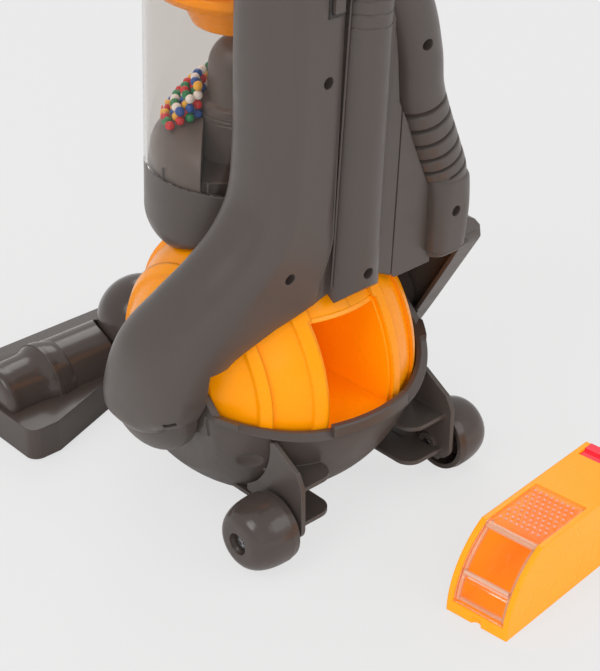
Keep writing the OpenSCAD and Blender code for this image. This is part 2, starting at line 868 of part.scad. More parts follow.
// Bottoms of the holes for the cover screws: two in the duct, one in the sleeve, two in the hose
duct_screws = [[23, 46, 176], [40.5, 46, 79]];
sleeve_screws = [[wand_x, wand_y + 6, 72]];
hose_screws = [[-38, 52, 180], [-69, 52, 82]];
screw_len = 5;
boss_wall = 1.8;

module screw_holes(places) {
  for (p = places) translate(p) along_y() cylinder(r = screw_hole_r, h = 24);
}

// Posts inside a hollow cover, closed at the bottom
module screw_bosses(places) {
  for (p = places) translate(p - [0, boss_wall, 0]) along_y()
    cylinder(r = screw_hole_r + boss_wall, h = 24);
}

module left_duct() {
  color(grey) on_upright() difference() {
    swept_tube(duct_rows, 0, 0, duct_end, 33, 24, flange_reach);
    difference() {
      swept_tube(duct_rows, duct_wall, 0.02, duct_end - 0.4, 30, 20, 0);
      screw_bosses(duct_screws);
    }
    // Step under the flange, for the strip and the spine
    block(-big, strip_half + 0.1, -big, cover_rear + 0.1, 0, big);
    sleeve_cone(0.2);
    sphere(arch_r);
    ear_room();
    hub_barrel(0.2);
    screw_holes(duct_screws);
    switch_plate(0.1);
  }
}

module right_hub() {
  color(grey) on_upright() mirror([1, 0, 0]) difference() {
    translate([hub_in, 0, 0]) along_x() cylinder(r = right_hub_r, h = right_arm_wall_x - hub_in);
    translate([hub_in - over, 0, 0]) along_x() cylinder(r = pin_r + fit, h = pin_len + over + 0.5);
  }
}

right_arm_wall_x = ear_out + pin_len + 1;
arm_wall = 4;
arm_front = -30;
arm_back = 58;

arm_flange = 10.5;
arm_lip = 3;

// Outline of the right arm from behind, on the +X side before mirroring. Each row holds x, z and how
// far the outline moves in x and in z for each millimetre of inset
arm_side = right_arm_wall_x + arm_wall;
arm_rows = [
  [62, 57, 0.3, 0.2], [78, 69, 0.5, 1.2], [84, 71, 0.6, 1.5], [89, 68.5, 0.8, 1.4],
  [arm_side + 0.5, 63.5, 1, 1.2], [arm_side + 2, 57, 1.05, 0.9], [arm_side + 2, 50, 1.05, 0.5],
  [arm_side + 1, 4, 1, 0], [arm_side, -14, 1, 0], [arm_side - 8, -26, 1, -1],
  [hub_in + 1, -26, 0.3, -1], [hub_in + 1, 30, 0.3, 0]
];

module arm_outline(inset) {
  polygon([for (p = arm_rows) [p[0] - inset * p[2], p[1] - inset * p[3]]]);
}

// Everything behind the slanting rear edge of the arm's shell
module arm_rear(shift) {
  translate([0, 57, 55]) rotate([-27, 0, 0]) translate([-big / 2, shift, -big / 2]) cube([big, big, big]);
}

module right_arm() {
  color(grey) on_upright() mirror([1, 0, 0]) difference() {
    plate_y(arm_front, arm_back - arm_front) arm_outline(0);
    // Hollow with a flange round its mouth
    plate_y(arm_front + 2 * arm_wall, big) arm_outline(arm_flange);
    difference() {
      plate_y(arm_front + arm_wall, arm_back - arm_lip - arm_front - arm_wall) arm_outline(arm_wall);
      arm_rear(0.5 - arm_lip);
    }
    arm_rear(0.5);
    sphere(arch_r);
    ear_room();
    // Room for the hub and for the cradle's pin
    translate([hub_in - over, 0, 0]) along_x()
      cylinder(r = right_hub_r + 0.2, h = right_arm_wall_x - hub_in + over);
  }
}

/* Rear covers and hose */

panel_t = 3;
panel_y = 50;
// Half width of the strip that the wand sleeve stands in
strip_half = 17.2;
// Place of the rear cover's front face, clear of the wand sleeve's trough
spine_rear = wand_y - sleeve_low_r - 2.8;
cover_rear = panel_y + panel_t + 1.5;
flange_reach = 5.8;

module sleeve_cone(grow) {
  low = 40;
  translate([wand_x, wand_y, low])
    cylinder(r1 = sleeve_low_r + grow, r2 = sleeve_top_r + grow, h = sleeve_top - low);
}

// Space over the ball that the rear of the upright keeps clear, with its sloping lower edge
module arch_room() {
  sphere(arch_r);
  rotate([arch_slope, 0, 0]) translate([-big / 2, 0, -big]) cube([big, big, big]);
}

module rear_cover() {
  seam_x = 22;
  color(grey) on_upright() difference() {
    union() {
      block(-seam_x, strip_half, spine_rear, cover_rear, 46, duct_top);
      // Flat panel that widens down to the right arm
      plate_y(panel_y, panel_t)
        polygon([[-seam_x + 1, 216], [-30, 150], [-61.6, 92], [-61.6, 50], [-seam_x + 1, 44]]);
    }
    arch_room();
    sleeve_cone(0.2);
    hose_body(0.2);
  }
}

module wand_sleeve() {
  bore = wand_r + fit;
  color(grey) on_upright() difference() {
    intersection() {
      sleeve_cone(0);
      block(-big / 2, big / 2, -big / 2, big / 2, 46, sleeve_top);
    }
    arch_room();
    translate([wand_x, wand_y, 84]) cylinder(r = bore, h = sleeve_top);
    screw_holes(sleeve_screws);
  }
}

// Middle line and radius of the moulded side hose, from its top bend down to its cuff
hose_rows = [
  [-26, 47, 230, 12, 12, 12, 12, 2.3],
  [-36, 47, 199, 14.5, 14.5, 14.5, 14.5, 2.3],
  [-42, 47, 172, 15.5, 15.5, 15.5, 15.5, 2.3],
  [-46, 47, 152, 14.5, 14.5, 14.5, 14.5, 2.3],
  [-54, 47, 132, 14.5, 14.5, 14.5, 14.5, 2.3],
  [-63, 47, 113, 14.5, 14.5, 14.5, 14.5, 2.3],
  [-70, 47, 98, 14.5, 14.5, 14.5, 14.5, 2.3],
  [-74, 47, 84, 14.5, 14.5, 14.5, 14.5, 2.3],
  [-75, 47, 74, 14.5, 14.5, 14.5, 14.5, 2.3]
];
hose_end = len(hose_rows) - 1;
groove_from = 3.36;
groove_to = 5.65;
groove_depth = 1.3;

// Depth of the grooves at place s along the hose
function groove(s) =
  let (turn = (s - groove_from) / (groove_to - groove_from) * (hose_grooves - 1))
  s < groove_from - 0.2 || s > groove_to + 0.2 ? 0
  : abs(turn - round(turn)) < 0.14 ? groove_depth : 0;

module hose_body(grow) {
  steps = 88;
  skin([for (i = [0:steps]) let (s = hose_end * i / steps)
    tube_ring(hose_rows, s, hose_rows[3][3] - hose_r + (grow > 0 ? -grow : groove(s)), 16)]);
}

module side_hose() {
  color(grey) on_upright() difference() {
    hose_body(0);
    difference() {
      swept_tube(hose_rows, duct_wall + groove_depth, 0.05, hose_end - 0.2, 24, 12);
      screw_bosses(hose_screws);
    }
    screw_holes(hose_screws);
  }
}

module cover_screws() {
  color(steel) on_upright()
  for (p = concat(duct_screws, sleeve_screws, hose_screws))
    translate(p) along_y() cylinder(r = screw_hole_r, h = screw_len);
}

// Hollow column between the bin holder and the rear cover
module spine() {
  half = 16.5;
  wall = 2.2;
  bottom = 60;
  color(grey) on_upright() difference() {
    block(-half, half, 0, spine_rear, bottom, duct_top);
    block(-half + wall, half - wall, 0, spine_rear - wall, bottom - over, duct_top - wall);
    sphere(arch_r);
    translate([0, -bin_y, 0]) cylinder(r = holder_r, h = big);
  }
}

holder_gap = 0.4;
holder_half = 27;
holder_t = 2.6;
holder_r = bin_r + holder_gap + holder_t;

// Curved back that the bin stands against
module bin_holder() {
  color(grey) on_upright() difference() {
    translate([0, -bin_y, bin_seam - 12]) cylinder(r = holder_r, h = bin_top - bin_seam + 12);
    translate([0, -bin_y, 0]) cylinder(r = bin_r + holder_gap, h = big);
    block(-big, big, -big, 0, 0, big);
    both_sides() block(holder_half, big, -big, big, 0, big);
    sphere(arch_r);
  }
}

/* Bin and its contents */

module at_bin() {
  on_upright() translate([0, -bin_y, 0]) children();
}

cup_round = 20;
cup_wall = 2.4;
cup_arch_r = ball_r + band_rise + 1;

module cup_profile(inset) {
  r = bin_r - inset;
  round_r = cup_round - inset;
  bottom = cup_bottom + inset;
  translate([0, bottom]) square([r - round_r, bin_seam - bottom]);
  translate([0, bottom + round_r]) square([r, bin_seam - bottom - round_r]);
  translate([r - round_r, bottom + round_r]) circle(round_r);
}

module bin_cup() {
  color(grey) difference() {
    at_bin() rotate_extrude() cup_profile(0);
    difference() {
      at_bin() {
        rotate_extrude() cup_profile(cup_wall);
        translate([0, 0, bin_seam - over]) cylinder(r = bin_r - cup_wall, h = 2 * over);
      }
      at_ball() sphere(cup_arch_r + cup_wall);
    }
    at_ball() sphere(cup_arch_r);
  }
}

module bin_clear() {
  color(clear, 0.3) at_bin() translate([0, 0, bin_seam]) difference() {
    cylinder(r = bin_r, h = bin_len);
    translate([0, 0, -over]) cylinder(r = bin_r - bin_wall, h = bin_len + 2 * over);
  }
}

mound_r = bin_r - bin_wall - 1.2;
bin_floor = bin_seam - 14;
mound_skirt = 6.2;
mound_rise = 18;
mound_wall = 2;
mound_top = bin_seam + mound_skirt + mound_rise;
// Heading of the mound's middle, which lies beside the column
mound_turn = -42;

function mound_points(r, r_top, shift) =
  [for (p = dome_points(r, r_top, mound_rise, 10, 2)) [p[0], p[1] + bin_seam + mound_skirt + shift]];

// The mound inside a given radius, without the corner in front of the column
module mound_body(inset) {
  difference() {
    rotate_extrude() polygon(concat([[0, bin_floor - inset]], [[mound_r - inset, bin_floor - inset]],
      mound_points(mound_r - inset, column_r - inset, -inset), [[0, mound_top - inset]]));
    translate([0, 0, bin_floor - big / 2]) cylinder(r = column_r + inset, h = big);
    rotate(mound_turn) block(-big, column_r - 2 + inset, -inset, big, -big, big);
  }
}

module bin_mound() {
  color(grey) at_bin() {
    difference() {
      mound_body(0);
      translate([0, 0, -mound_wall / 2]) mound_body(mound_wall);
    }
    // Floor of the bin, set into the cup
    translate([0, 0, bin_floor - mound_wall]) difference() {
      cylinder(r = bin_r - cup_wall, h = mound_wall);
      translate([0, 0, -over]) cylinder(r = column_r, h = mound_wall + 2 * over);
    }
  }
}

column_top_r = 15.2;
column_step = bin_seam + 32;
column_top = bin_seam + 66.8;
column_round = 17;
bead_motor_r = 10.5;
bead_motor_h = 26;
bead_fan_h = 7;
bead_motor_z = bin_floor + bead_fan_h + 2;

module bin_column() {
  foot = bin_floor - mound_wall;
  color(grey) at_bin() difference() {
    rotate_extrude() polygon(concat([[0, foot], [column_r, foot], [column_r, column_step],
      [column_top_r, column_step + 1.2]],
      [for (p = dome_points(column_top_r, 0, column_round, 12, 2))
        [p[0], p[1] + column_top - column_round]]));
    translate([0, 0, foot - over]) cylinder(r = column_r - mound_wall, h = bead_motor_z - foot + over);
    translate([0, 0, foot]) cylinder(r = bead_motor_r, h = bead_motor_z + bead_motor_h - foot);
    // Two lines round the column under its step
    for (z = [column_step - 8, column_step - 5.5]) translate([0, 0, z]) difference() {
      cylinder(r = column_r + over, h = 0.6);
      cylinder(r = column_r - 0.5, h = 0.6);
    }
  }
}

module bead_motor() {
  color(steel) at_bin() translate([0, 0, bead_motor_z]) difference() {
    cylinder(r = bead_motor_r, h = bead_motor_h);
    translate([0, 0, -over]) cylinder(r = shaft_r + fit, h = 16 + over);
  }
}

module bead_fan() {
  blades = 6;
  r = column_r - mound_wall - 1.6;
  color("white") at_bin() {
    translate([0, 0, bin_floor]) cylinder(r = r, h = 1.2);
    for (i = [0:blades - 1]) rotate(i * 360 / blades)
      block(4, r - 1, -0.6, 0.6, bin_floor + 0.6, bin_floor + bead_fan_h - 0.6);
    translate([0, 0, bin_floor]) cylinder(r = shaft_r, h = bead_motor_z - bin_floor + 13);
  }
}

// Beads lie in arcs round the column, in layers that thin out towards the wall
bead_pitch = 2 * bead_r + 0.35;
bead_mid = -52;
bead_spread = 40;

function slope_z(r) =
  let (x = min(max((r - column_r) / (mound_r - column_r), 0), 1))
  bin_seam + mound_skirt + mound_rise * sqrt(1 - x * x);

bead_places = [
  for (ring = [0:3]) let (r = column_r + bead_r + 0.8 + ring * bead_pitch * 0.98)
  for (layer = [0:3 - ring])
  let (
    step = 2 * asin(bead_pitch / 2 / r),
    count = floor(bead_spread * 2 / step),
    z = slope_z(r - bead_r) + bead_r + 0.3 + layer * bead_pitch * 0.98
  )
  for (k = [0:count]) let (angle = bead_mid + (k - count / 2) * step)
  [r * cos(angle), r * sin(angle), z]
];
bead_colours = 5;

module beads(first, shade) {
  color(shade) at_bin()
  for (i = [0:len(bead_places) - 1])
    if ((i * 7 + floor(i / 3)) % bead_colours == first) translate(bead_places[i]) sphere(bead_r);
}

module beads_red() {
  beads(0, "#d02a2e");
}

module beads_blue() {
  beads(1, "#2a5ca8");
}

module beads_green() {
  beads(2, "#2f8a52");
}

module beads_yellow() {
  beads(3, "#f0b63c");
}

module beads_white() {
  beads(4, "#eeeae4");
}

shroud_bottom = bin_seam + 75;
shroud_ring = shroud_bottom + 17;

module shroud() {
  ring_r = bin_r - bin_wall - 0.6;
  color(orange) at_bin() difference() {
    rotate_extrude() polygon([[0, shroud_bottom], [23.6, shroud_bottom], [31, shroud_ring - 2],
      [ring_r - 3, shroud_ring], [ring_r, shroud_ring + 4], [ring_r, shroud_ring + 8],
      [36, shroud_ring + 10], [36, bin_top], [0, bin_top]]);
    rotate_extrude() polygon([[0, shroud_bottom + 2], [21, shroud_bottom + 2], [29, shroud_ring],
      [33.6, shroud_ring + 12], [33.6, bin_top + over], [0, bin_top + over]]);
  }
}

/* Cyclone top, handles and switch */

cap_base = bin_top + 54;
cone_count = 8;
cone_ring_r = 35;

module cyclone_body() {
  color(grey) at_bin() difference() {
    union() {
      translate([0, 0, bin_top]) cylinder(r = bin_r + 0.6, h = 6);
      translate([0, 0, bin_top + 6]) cylinder(r = 24, h = cap_base - bin_top - 6);
      // Bridge back to the spine
      intersection() {
        block(-12, 12, 18, bin_y + spine_rear, bin_top + 10, bin_top + 36);
        cylinder(r = holder_r, h = big);
      }
    }
    translate([0, 0, bin_top + 2]) cylinder(r = 21, h = cap_base - bin_top);
    translate([0, 0, bin_top - over]) cylinder(r = 30, h = 3 + over);
  }
}

module cyclone_cones() {
  color(orange) at_bin()
  for (i = [0:cone_count - 1]) let (angle = (i + 0.5) * 360 / cone_count)
    if (abs(angle - 90) > 40) rotate(angle)
      translate([cone_ring_r, 0, bin_top + 6]) cylinder(r1 = 7, r2 = 10.6, h = cap_base - bin_top - 6);
}

cap_h = 22;
cap_flat = 6;

// Domed top of the bin, grown by a step
module cap_dome(grow) {
  r = bin_r + grow;
  rotate_extrude() polygon(concat([[0, 0]], [[r, 0]],
    [for (p = dome_points(r, 12, cap_h - cap_flat + grow, 10, 2.4)) [p[0], p[1] + cap_flat]],
    [[0, cap_h + grow]]));
}

module cyclone_cap() {
  color(grey) at_bin() translate([0, 0, cap_base]) difference() {
    cap_dome(0);
    translate([0, 0, -over]) cylinder(r = bin_r - 4, h = 5 + over);
    translate([0, button_y, 8]) cylinder(r = button_r + 0.4, h = cap_h);
  }
}

button_r = 7;
button_y = -24;
button_travel = 4;

module bin_button() {
  color("#e8343f") at_bin() translate([0, button_y, cap_base + 8 + button_travel + 0.6])
    cylinder(r = button_r, h = 12);
}

handle_half = 6;

// Arched grip that stands on the cap and on the top of the spine
module carry_handle() {
  arch_h = 46;
  bar = 14;
  color(grey) at_bin() difference() {
    translate([0, 0, cap_base + 12]) plate_x(-handle_half, 2 * handle_half) difference() {
      union() {
        translate([-6, 0]) square([66, arch_h - 12]);
        translate([6, arch_h - 12]) circle(12);
        translate([6, arch_h - bar]) square([54, bar]);
      }
      translate([8, -over]) square([36, arch_h - bar + 2]);
    }
    translate([0, 0, cap_base]) cap_dome(0.1);
    block(-big, big, bin_y, big, 0, duct_top);
  }
}

module wand() {
  color(dark_grey) on_upright() translate([wand_x, wand_y, 86])
    cylinder(r = wand_r, h = loop_z - loop_r - 86);
}

module handle_collar() {
  base = loop_z - loop_r - 40;
  color(grey) on_upright() translate([wand_x, wand_y, base]) difference() {
    union() {
      cylinder(r1 = wand_r + 2.5, r2 = wand_r + 4, h = 30);
      translate([0, 0, 30]) cylinder(r = wand_r + 4, h = 6);
    }
    translate([0, 0, -over]) cylinder(r = wand_r, h = 40);
  }
}

module handle_loop() {
  color(grey) on_upright() difference() {
    translate([wand_x, wand_y, loop_z]) along_x() rotate_extrude()
      translate([loop_r, 0]) circle(loop_bar_r);
    translate([wand_x, wand_y, loop_z - loop_r - 40]) cylinder(r = wand_r + 4.2, h = 36);
    translate([wand_x, wand_y, loop_z - loop_r - 40]) cylinder(r = wand_r, h = 40);
  }
}

switch_z = 219;
switch_x = 20.5;
switch_travel = 6;
switch_face = 58.7;

// Outside of the switch's frame, grown by a step
module switch_plate(grow) {
  block(switch_x - 5 - grow, switch_x + 4.5 + grow, switch_face - 2.2 - grow, switch_face + grow,
        switch_z - 12 - grow, switch_z + 12 + grow);
}

module switch_base() {
  color(dark_grey) on_upright() difference() {
    switch_plate(0);
    block(switch_x - 3.4, switch_x + 3, switch_face - 1.2, switch_face + over,
          switch_z - 10, switch_z + 10);
  }
}

module switch_slider() {
  color(grey) on_upright()
    block(switch_x - 3.1, switch_x + 2.7, switch_face - 0.9, switch_face + 2,
          switch_z - 9.5, switch_z + 9.7 - switch_travel);
}

/* Dust drawer */

module at_drawer() {
  translate([drawer_x, drawer_y, 0]) rotate(drawer_turn) mirror([0, 1, 0]) children();
}

nose_top = drawer_nose_r - sqrt(drawer_nose_r * drawer_nose_r - drawer_h * drawer_h);
lid_start = nose_top;
lid_end = lid_start + lid_len;
lip_h = 6;
cover_t = 1.6;
cover_gap = 0.4;
// Width of the side rails beside the lid
rail = 3;
lid_seat = drawer_h - cover_t - 0.3;

// Side view of the drawer: length along X, height along Y
module drawer_side(inset) {
  intersection() {
    translate([inset, inset]) square([drawer_len - 2 * inset, drawer_h - 2 * inset]);
    union() {
      translate([drawer_nose_r, 0]) circle(drawer_nose_r - inset);
      translate([drawer_nose_r, 0]) square([drawer_len, drawer_h]);
    }
  }
}

module across(y, w) {
  translate([0, y + w, 0]) rotate([90, 0, 0]) linear_extrude(w) children();
}

module drawer_tray() {
  color("#ffac32") at_drawer() difference() {
    across(0, drawer_w) drawer_side(0);
    // Dust chamber behind the clear cover
    across(rail, drawer_w - 2 * rail) {
      translate([-over, drawer_wall]) square([lid_end - 2 + over, drawer_h]);
      translate([lid_end - 3, drawer_wall]) square([13, lid_seat - 2 * drawer_wall]);
    }
    // Seat of the lid between the rails
    block(lid_start - 3, lid_end, rail, drawer_w - rail, lid_seat, drawer_h + over);
    // Fingernail notch under the clear cover
    translate([-over, drawer_w / 2, 0]) cylinder(r = 3, h = 4);
    // Hollow behind the dust chamber
    across(drawer_wall, drawer_w - 2 * drawer_wall) translate([lid_end + 12, -over])
      square([drawer_len - lid_end - 12 - drawer_wall, drawer_h - 14]);
    // Seat of the red flap
    block(drawer_len - flap_len, drawer_len + over, flap_in, drawer_w - flap_in,
          drawer_h - 5, drawer_h + over);
  }
  // Lip under the clear window
  color("#ffac32") at_drawer() difference() {
    across(rail - 0.2, drawer_w - 2 * rail + 0.4) intersection() {
      drawer_side(0);
      square([5, lip_h]);
    }
    translate([-over, drawer_w / 2, -over]) cylinder(r = 3, h = 4 + over);
  }
}

// Clear hood: the curved window and the perforated lid in one moulding
module drawer_cover() {
  inner = rail + cover_gap;
  field_w = drawer_w - 12;
  field_l = lid_len - 12;
  hole_r = 0.6;
  bar_z = drawer_h * 0.42;
  color(clear, 0.4) at_drawer() {
    difference() {
      block(lid_start - 1, lid_end - cover_gap, inner, drawer_w - inner, drawer_h - cover_t, drawer_h);
      // Staggered holes for the air
      for (i = [0:lid_cols - 1]) for (j = [0:lid_rows - 1])
        translate([lid_start + 7 + field_l * i / (lid_cols - 1),
                   6 + field_w * (j + (i % 2) / 2) / (lid_rows - 0.5), drawer_h - 2 * cover_t])
          cylinder(r = hole_r, h = 3 * cover_t);
    }
    across(inner, drawer_w - 2 * inner) difference() {
      intersection() {
        drawer_side(0.6);
        translate([0, lip_h + 0.3]) square([lid_start + 6, drawer_h - lip_h - cover_t + 0.2]);
      }
      drawer_side(0.6 + cover_t);
      translate([drawer_nose_r, 0]) circle(drawer_nose_r - 0.6 - cover_t);
    }
    // Bar across the window
    across(inner, drawer_w - 2 * inner)
      translate([drawer_nose_r - sqrt(pow(drawer_nose_r - 1, 2) - pow(bar_z, 2)), bar_z]) square([3, 1.6]);
  }
}

flap_len = 12;
flap_in = 3;

module drawer_flap() {
  gap = 0.2;
  color("#f53746") at_drawer() {
    block(drawer_len - flap_len + gap, drawer_len - gap, flap_in + gap, drawer_w - flap_in - gap,
          drawer_h - 5, drawer_h - 1);
    block(drawer_len - flap_len / 2, drawer_len - gap, flap_in + gap, drawer_w - flap_in - gap,
          drawer_h - 1.2, drawer_h + 0.4);
  }
}

cradle();
ball_left();
ball_right();
drawer_garage();
fan_housing();
suction_motor();
suction_fan();
battery_box();
batteries();
battery_door();
door_screw();
axle_screws();
wheel_left();
wheel_right();
neck();
head_cover();
head_sole();
head_rollers();
left_duct();
left_hub();
right_arm();
right_hub();
rear_cover();
wand_sleeve();
side_hose();
spine();
bin_holder();
bin_cup();
bin_clear();
bin_mound();
bin_column();
bead_motor();
bead_fan();
beads_red();
beads_blue();
beads_green();
beads_yellow();
beads_white();
shroud();
cyclone_cones();
cyclone_body();
cyclone_cap();
carry_handle();
bin_button();
switch_base();
switch_slider();
cover_screws();
wand();
handle_collar();
handle_loop();
drawer_tray();
drawer_cover();
drawer_flap();
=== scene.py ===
import json
from contextlib import contextmanager
from math import asin, copysign, cos, degrees, pi, radians, sin, sqrt, tau
import bmesh
import bpy
from mathutils import Matrix, Vector
from mathutils.bvhtree import BVHTree


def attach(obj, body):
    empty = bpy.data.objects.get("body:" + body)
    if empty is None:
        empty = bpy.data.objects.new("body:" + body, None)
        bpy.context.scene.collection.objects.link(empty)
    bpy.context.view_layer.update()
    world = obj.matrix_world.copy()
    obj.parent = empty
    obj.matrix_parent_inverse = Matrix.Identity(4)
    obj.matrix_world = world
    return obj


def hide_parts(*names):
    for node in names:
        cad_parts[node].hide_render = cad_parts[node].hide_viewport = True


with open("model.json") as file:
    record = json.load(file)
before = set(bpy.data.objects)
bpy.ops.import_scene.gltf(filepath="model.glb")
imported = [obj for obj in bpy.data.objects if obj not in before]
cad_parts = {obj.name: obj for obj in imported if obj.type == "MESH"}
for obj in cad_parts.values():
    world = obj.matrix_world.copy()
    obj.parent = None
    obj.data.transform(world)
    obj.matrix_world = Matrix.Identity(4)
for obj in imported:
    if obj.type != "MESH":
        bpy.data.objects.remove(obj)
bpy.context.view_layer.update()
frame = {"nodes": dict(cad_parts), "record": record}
nodes = frame["nodes"]
mm = 0.001
print("frame loaded:", len(nodes), "solids")

# The upright leans back about the recline axis, the bin stands in front of it and the drawer lies on the floor
layout = {"ballHeight": 74.0, "lean": 3.4, "binForward": 31.0, "drawerAt": (25.4, 158.4), "drawerTurn": 185.2}
millimetres = Matrix.Scale(mm, 4)
uprightFrame = millimetres @ Matrix.Translation((0, 0, layout["ballHeight"])) @ Matrix.Rotation(
    radians(-layout["lean"]), 4, "X")
binFrame = uprightFrame @ Matrix.Translation((0, -layout["binForward"], 0))
drawerFrame = millimetres @ Matrix.Translation((*layout["drawerAt"], 0)) @ Matrix.Rotation(
    radians(layout["drawerTurn"]), 4, "Z") @ Matrix.Scale(-1, 4, (0, 1, 0))
alongX = Matrix.Rotation(radians(90), 4, "Y")
alongY = Matrix.Rotation(radians(-90), 4, "X")
bothSides = {"Left": 1, "Right": -1}


def addObject(name, data):
    item = bpy.data.objects.new(name, data)
    bpy.context.scene.collection.objects.link(item)
    return item


def evenSteps(low, high, steps):
    return [low + (high - low) * i / steps for i in range(steps + 1)]


# Camera at the photograph's angle
cameraSettings = {"place": (0.5085, 0.58535, 0.52954), "bearing": 42.163, "height": 30.321, "lens": 90.05,
                  "sensor": 36.0, "nearest": 0.01}


def placeCamera(settings):
    bearing, height = radians(settings["bearing"]), radians(settings["height"])
    back = Vector((sin(bearing) * cos(height), cos(bearing) * cos(height), sin(height)))
    data = bpy.data.cameras.new("camera")
    data.sensor_width = settings["sensor"]
    data.lens = settings["lens"]
    data.clip_start = settings["nearest"]
    camera = addObject("camera", data)
    camera.location = settings["place"]
    camera.rotation_euler = (-back).to_track_quat("-Z", "Y").to_euler()
    bpy.context.scene.camera = camera


placeCamera(cameraSettings)
print("camera placed")


# Shader groups that several finishes share
def newGroup(name, inputs, outputs):
    tree = bpy.data.node_groups.new(name, "ShaderNodeTree")
    for label, kind, value in inputs:
        socket = tree.interface.new_socket(label, in_out="INPUT", socket_type=kind)
        if value is not None:
            socket.default_value = value
    for label, kind in outputs:
        tree.interface.new_socket(label, in_out="OUTPUT", socket_type=kind)
    return tree, tree.nodes.new("NodeGroupInput"), tree.nodes.new("NodeGroupOutput")


def plug(tree, node, **sockets):
    for key, value in sockets.items():
        label = key.replace("_", " ")
        target = node.inputs[label] if label in node.inputs else node.inputs[int(key[1:])]
        if isinstance(value, bpy.types.NodeSocket):
            tree.links.new(value, target)
        else:
            target.default_value = value


def addNode(tree, kind, settings=None, **sockets):
    node = tree.nodes.new(kind)
    for key, value in (settings or {}).items():
        setattr(node, key, value)
    plug(tree, node, **sockets)
    return node


def buildMouldedSkin():
    tree, given, result = newGroup("mouldedSkin", [
        ("Grain Scale", "NodeSocketFloat", 1400), ("Mottle Scale", "NodeSocketFloat", 20),
        ("Rough Low", "NodeSocketFloat", 0.4), ("Rough High", "NodeSocketFloat", 0.5)],
        [("Height", "NodeSocketFloat"), ("Mottle", "NodeSocketFloat"), ("Roughness", "NodeSocketFloat")])
    place = addNode(tree, "ShaderNodeTexCoord").outputs["Object"]
    grain = addNode(tree, "ShaderNodeTexNoise", Vector=place, Scale=given.outputs["Grain Scale"], Detail=3.0)
    mottle = addNode(tree, "ShaderNodeTexNoise", Vector=place, Scale=given.outputs["Mottle Scale"], Detail=5.0)
    finer = addNode(tree, "ShaderNodeMath", {"operation": "MULTIPLY"}, _0=given.outputs["Mottle Scale"], _1=6.0)
    smears = addNode(tree, "ShaderNodeTexNoise", Vector=place, Scale=finer.outputs[0], Detail=4.0, Distortion=0.6)
    rough = addNode(tree, "ShaderNodeMapRange", Value=smears.outputs["Fac"], From_Min=0.3, From_Max=0.7,
                    To_Min=given.outputs["Rough Low"], To_Max=given.outputs["Rough High"])
    plug(tree, result, Height=grain.outputs["Fac"], Mottle=mottle.outputs["Fac"], Roughness=rough.outputs["Result"])
    return tree


def buildSoftEdge():
    tree, given, result = newGroup("softEdge", [("Radius", "NodeSocketFloat", 0.0006)],
                                   [("Normal", "NodeSocketVector"), ("Edge", "NodeSocketFloat")])
    bevel = addNode(tree, "ShaderNodeBevel", {"samples": 6}, Radius=given.outputs["Radius"])
    plain = addNode(tree, "ShaderNodeNewGeometry")
    dot = addNode(tree, "ShaderNodeVectorMath", {"operation": "DOT_PRODUCT"}, _0=bevel.outputs[0],
                  _1=plain.outputs["Normal"])
    edge = addNode(tree, "ShaderNodeMapRange", Value=dot.outputs["Value"], From_Min=0.99, From_Max=0.8,
                   To_Min=0.0, To_Max=1.0)
    plug(tree, result, Normal=bevel.outputs[0], Edge=edge.outputs["Result"])
    return tree


# Painted rim sheen: the colour is brightened towards grazing view, by up to one plus Gain at the silhouette
def buildPaintedRimSheen():
    tree, given, result = newGroup("paintedRimSheen", [
        ("Colour", "NodeSocketColor", (0.5, 0.5, 0.5, 1)), ("Gain", "NodeSocketFloat", 0.3)],
        [("Colour", "NodeSocketColor")])
    facing = addNode(tree, "ShaderNodeLayerWeight", Blend=0.35)
    amount = addNode(tree, "ShaderNodeMath", {"operation": "MULTIPLY_ADD"}, _0=facing.outputs["Facing"],
                     _1=given.outputs["Gain"], _2=1.0)
    lifted = addNode(tree, "ShaderNodeVectorMath", {"operation": "SCALE"}, _0=given.outputs["Colour"],
                     Scale=amount.outputs[0])
    plug(tree, result, Colour=lifted.outputs[0])
    return tree


def buildLightThrough():
    tree, given, result = newGroup("lightThrough", [
        ("Surface", "NodeSocketShader", None), ("Tint", "NodeSocketColor", (1, 1, 1, 1))],
        [("Surface", "NodeSocketShader")])
    path = addNode(tree, "ShaderNodeLightPath")
    share = addNode(tree, "ShaderNodeMath", {"operation": "MAXIMUM"}, _0=path.outputs["Is Shadow Ray"],
                    _1=path.outputs["Is Diffuse Ray"])
    through = addNode(tree, "ShaderNodeBsdfTransparent", Color=given.outputs["Tint"])
    blend = addNode(tree, "ShaderNodeMixShader", _0=share.outputs[0], _1=given.outputs["Surface"],
                    _2=through.outputs[0])
    plug(tree, result, Surface=blend.outputs[0])
    return tree


mouldedSkin = buildMouldedSkin()
softEdge = buildSoftEdge()
paintedRimSheen = buildPaintedRimSheen()
lightThrough = buildLightThrough()


def linear(r, g, b):
    shares = (r / 255, g / 255, b / 255)
    return tuple(c / 12.92 if c <= 0.04045 else ((c + 0.055) / 1.055) ** 2.4 for c in shares) + (1,)


def newMaterial(name):
    material = bpy.data.materials.new(name)
    material.use_nodes = True
    tree = material.node_tree
    return material, tree, tree.nodes["Principled BSDF"]


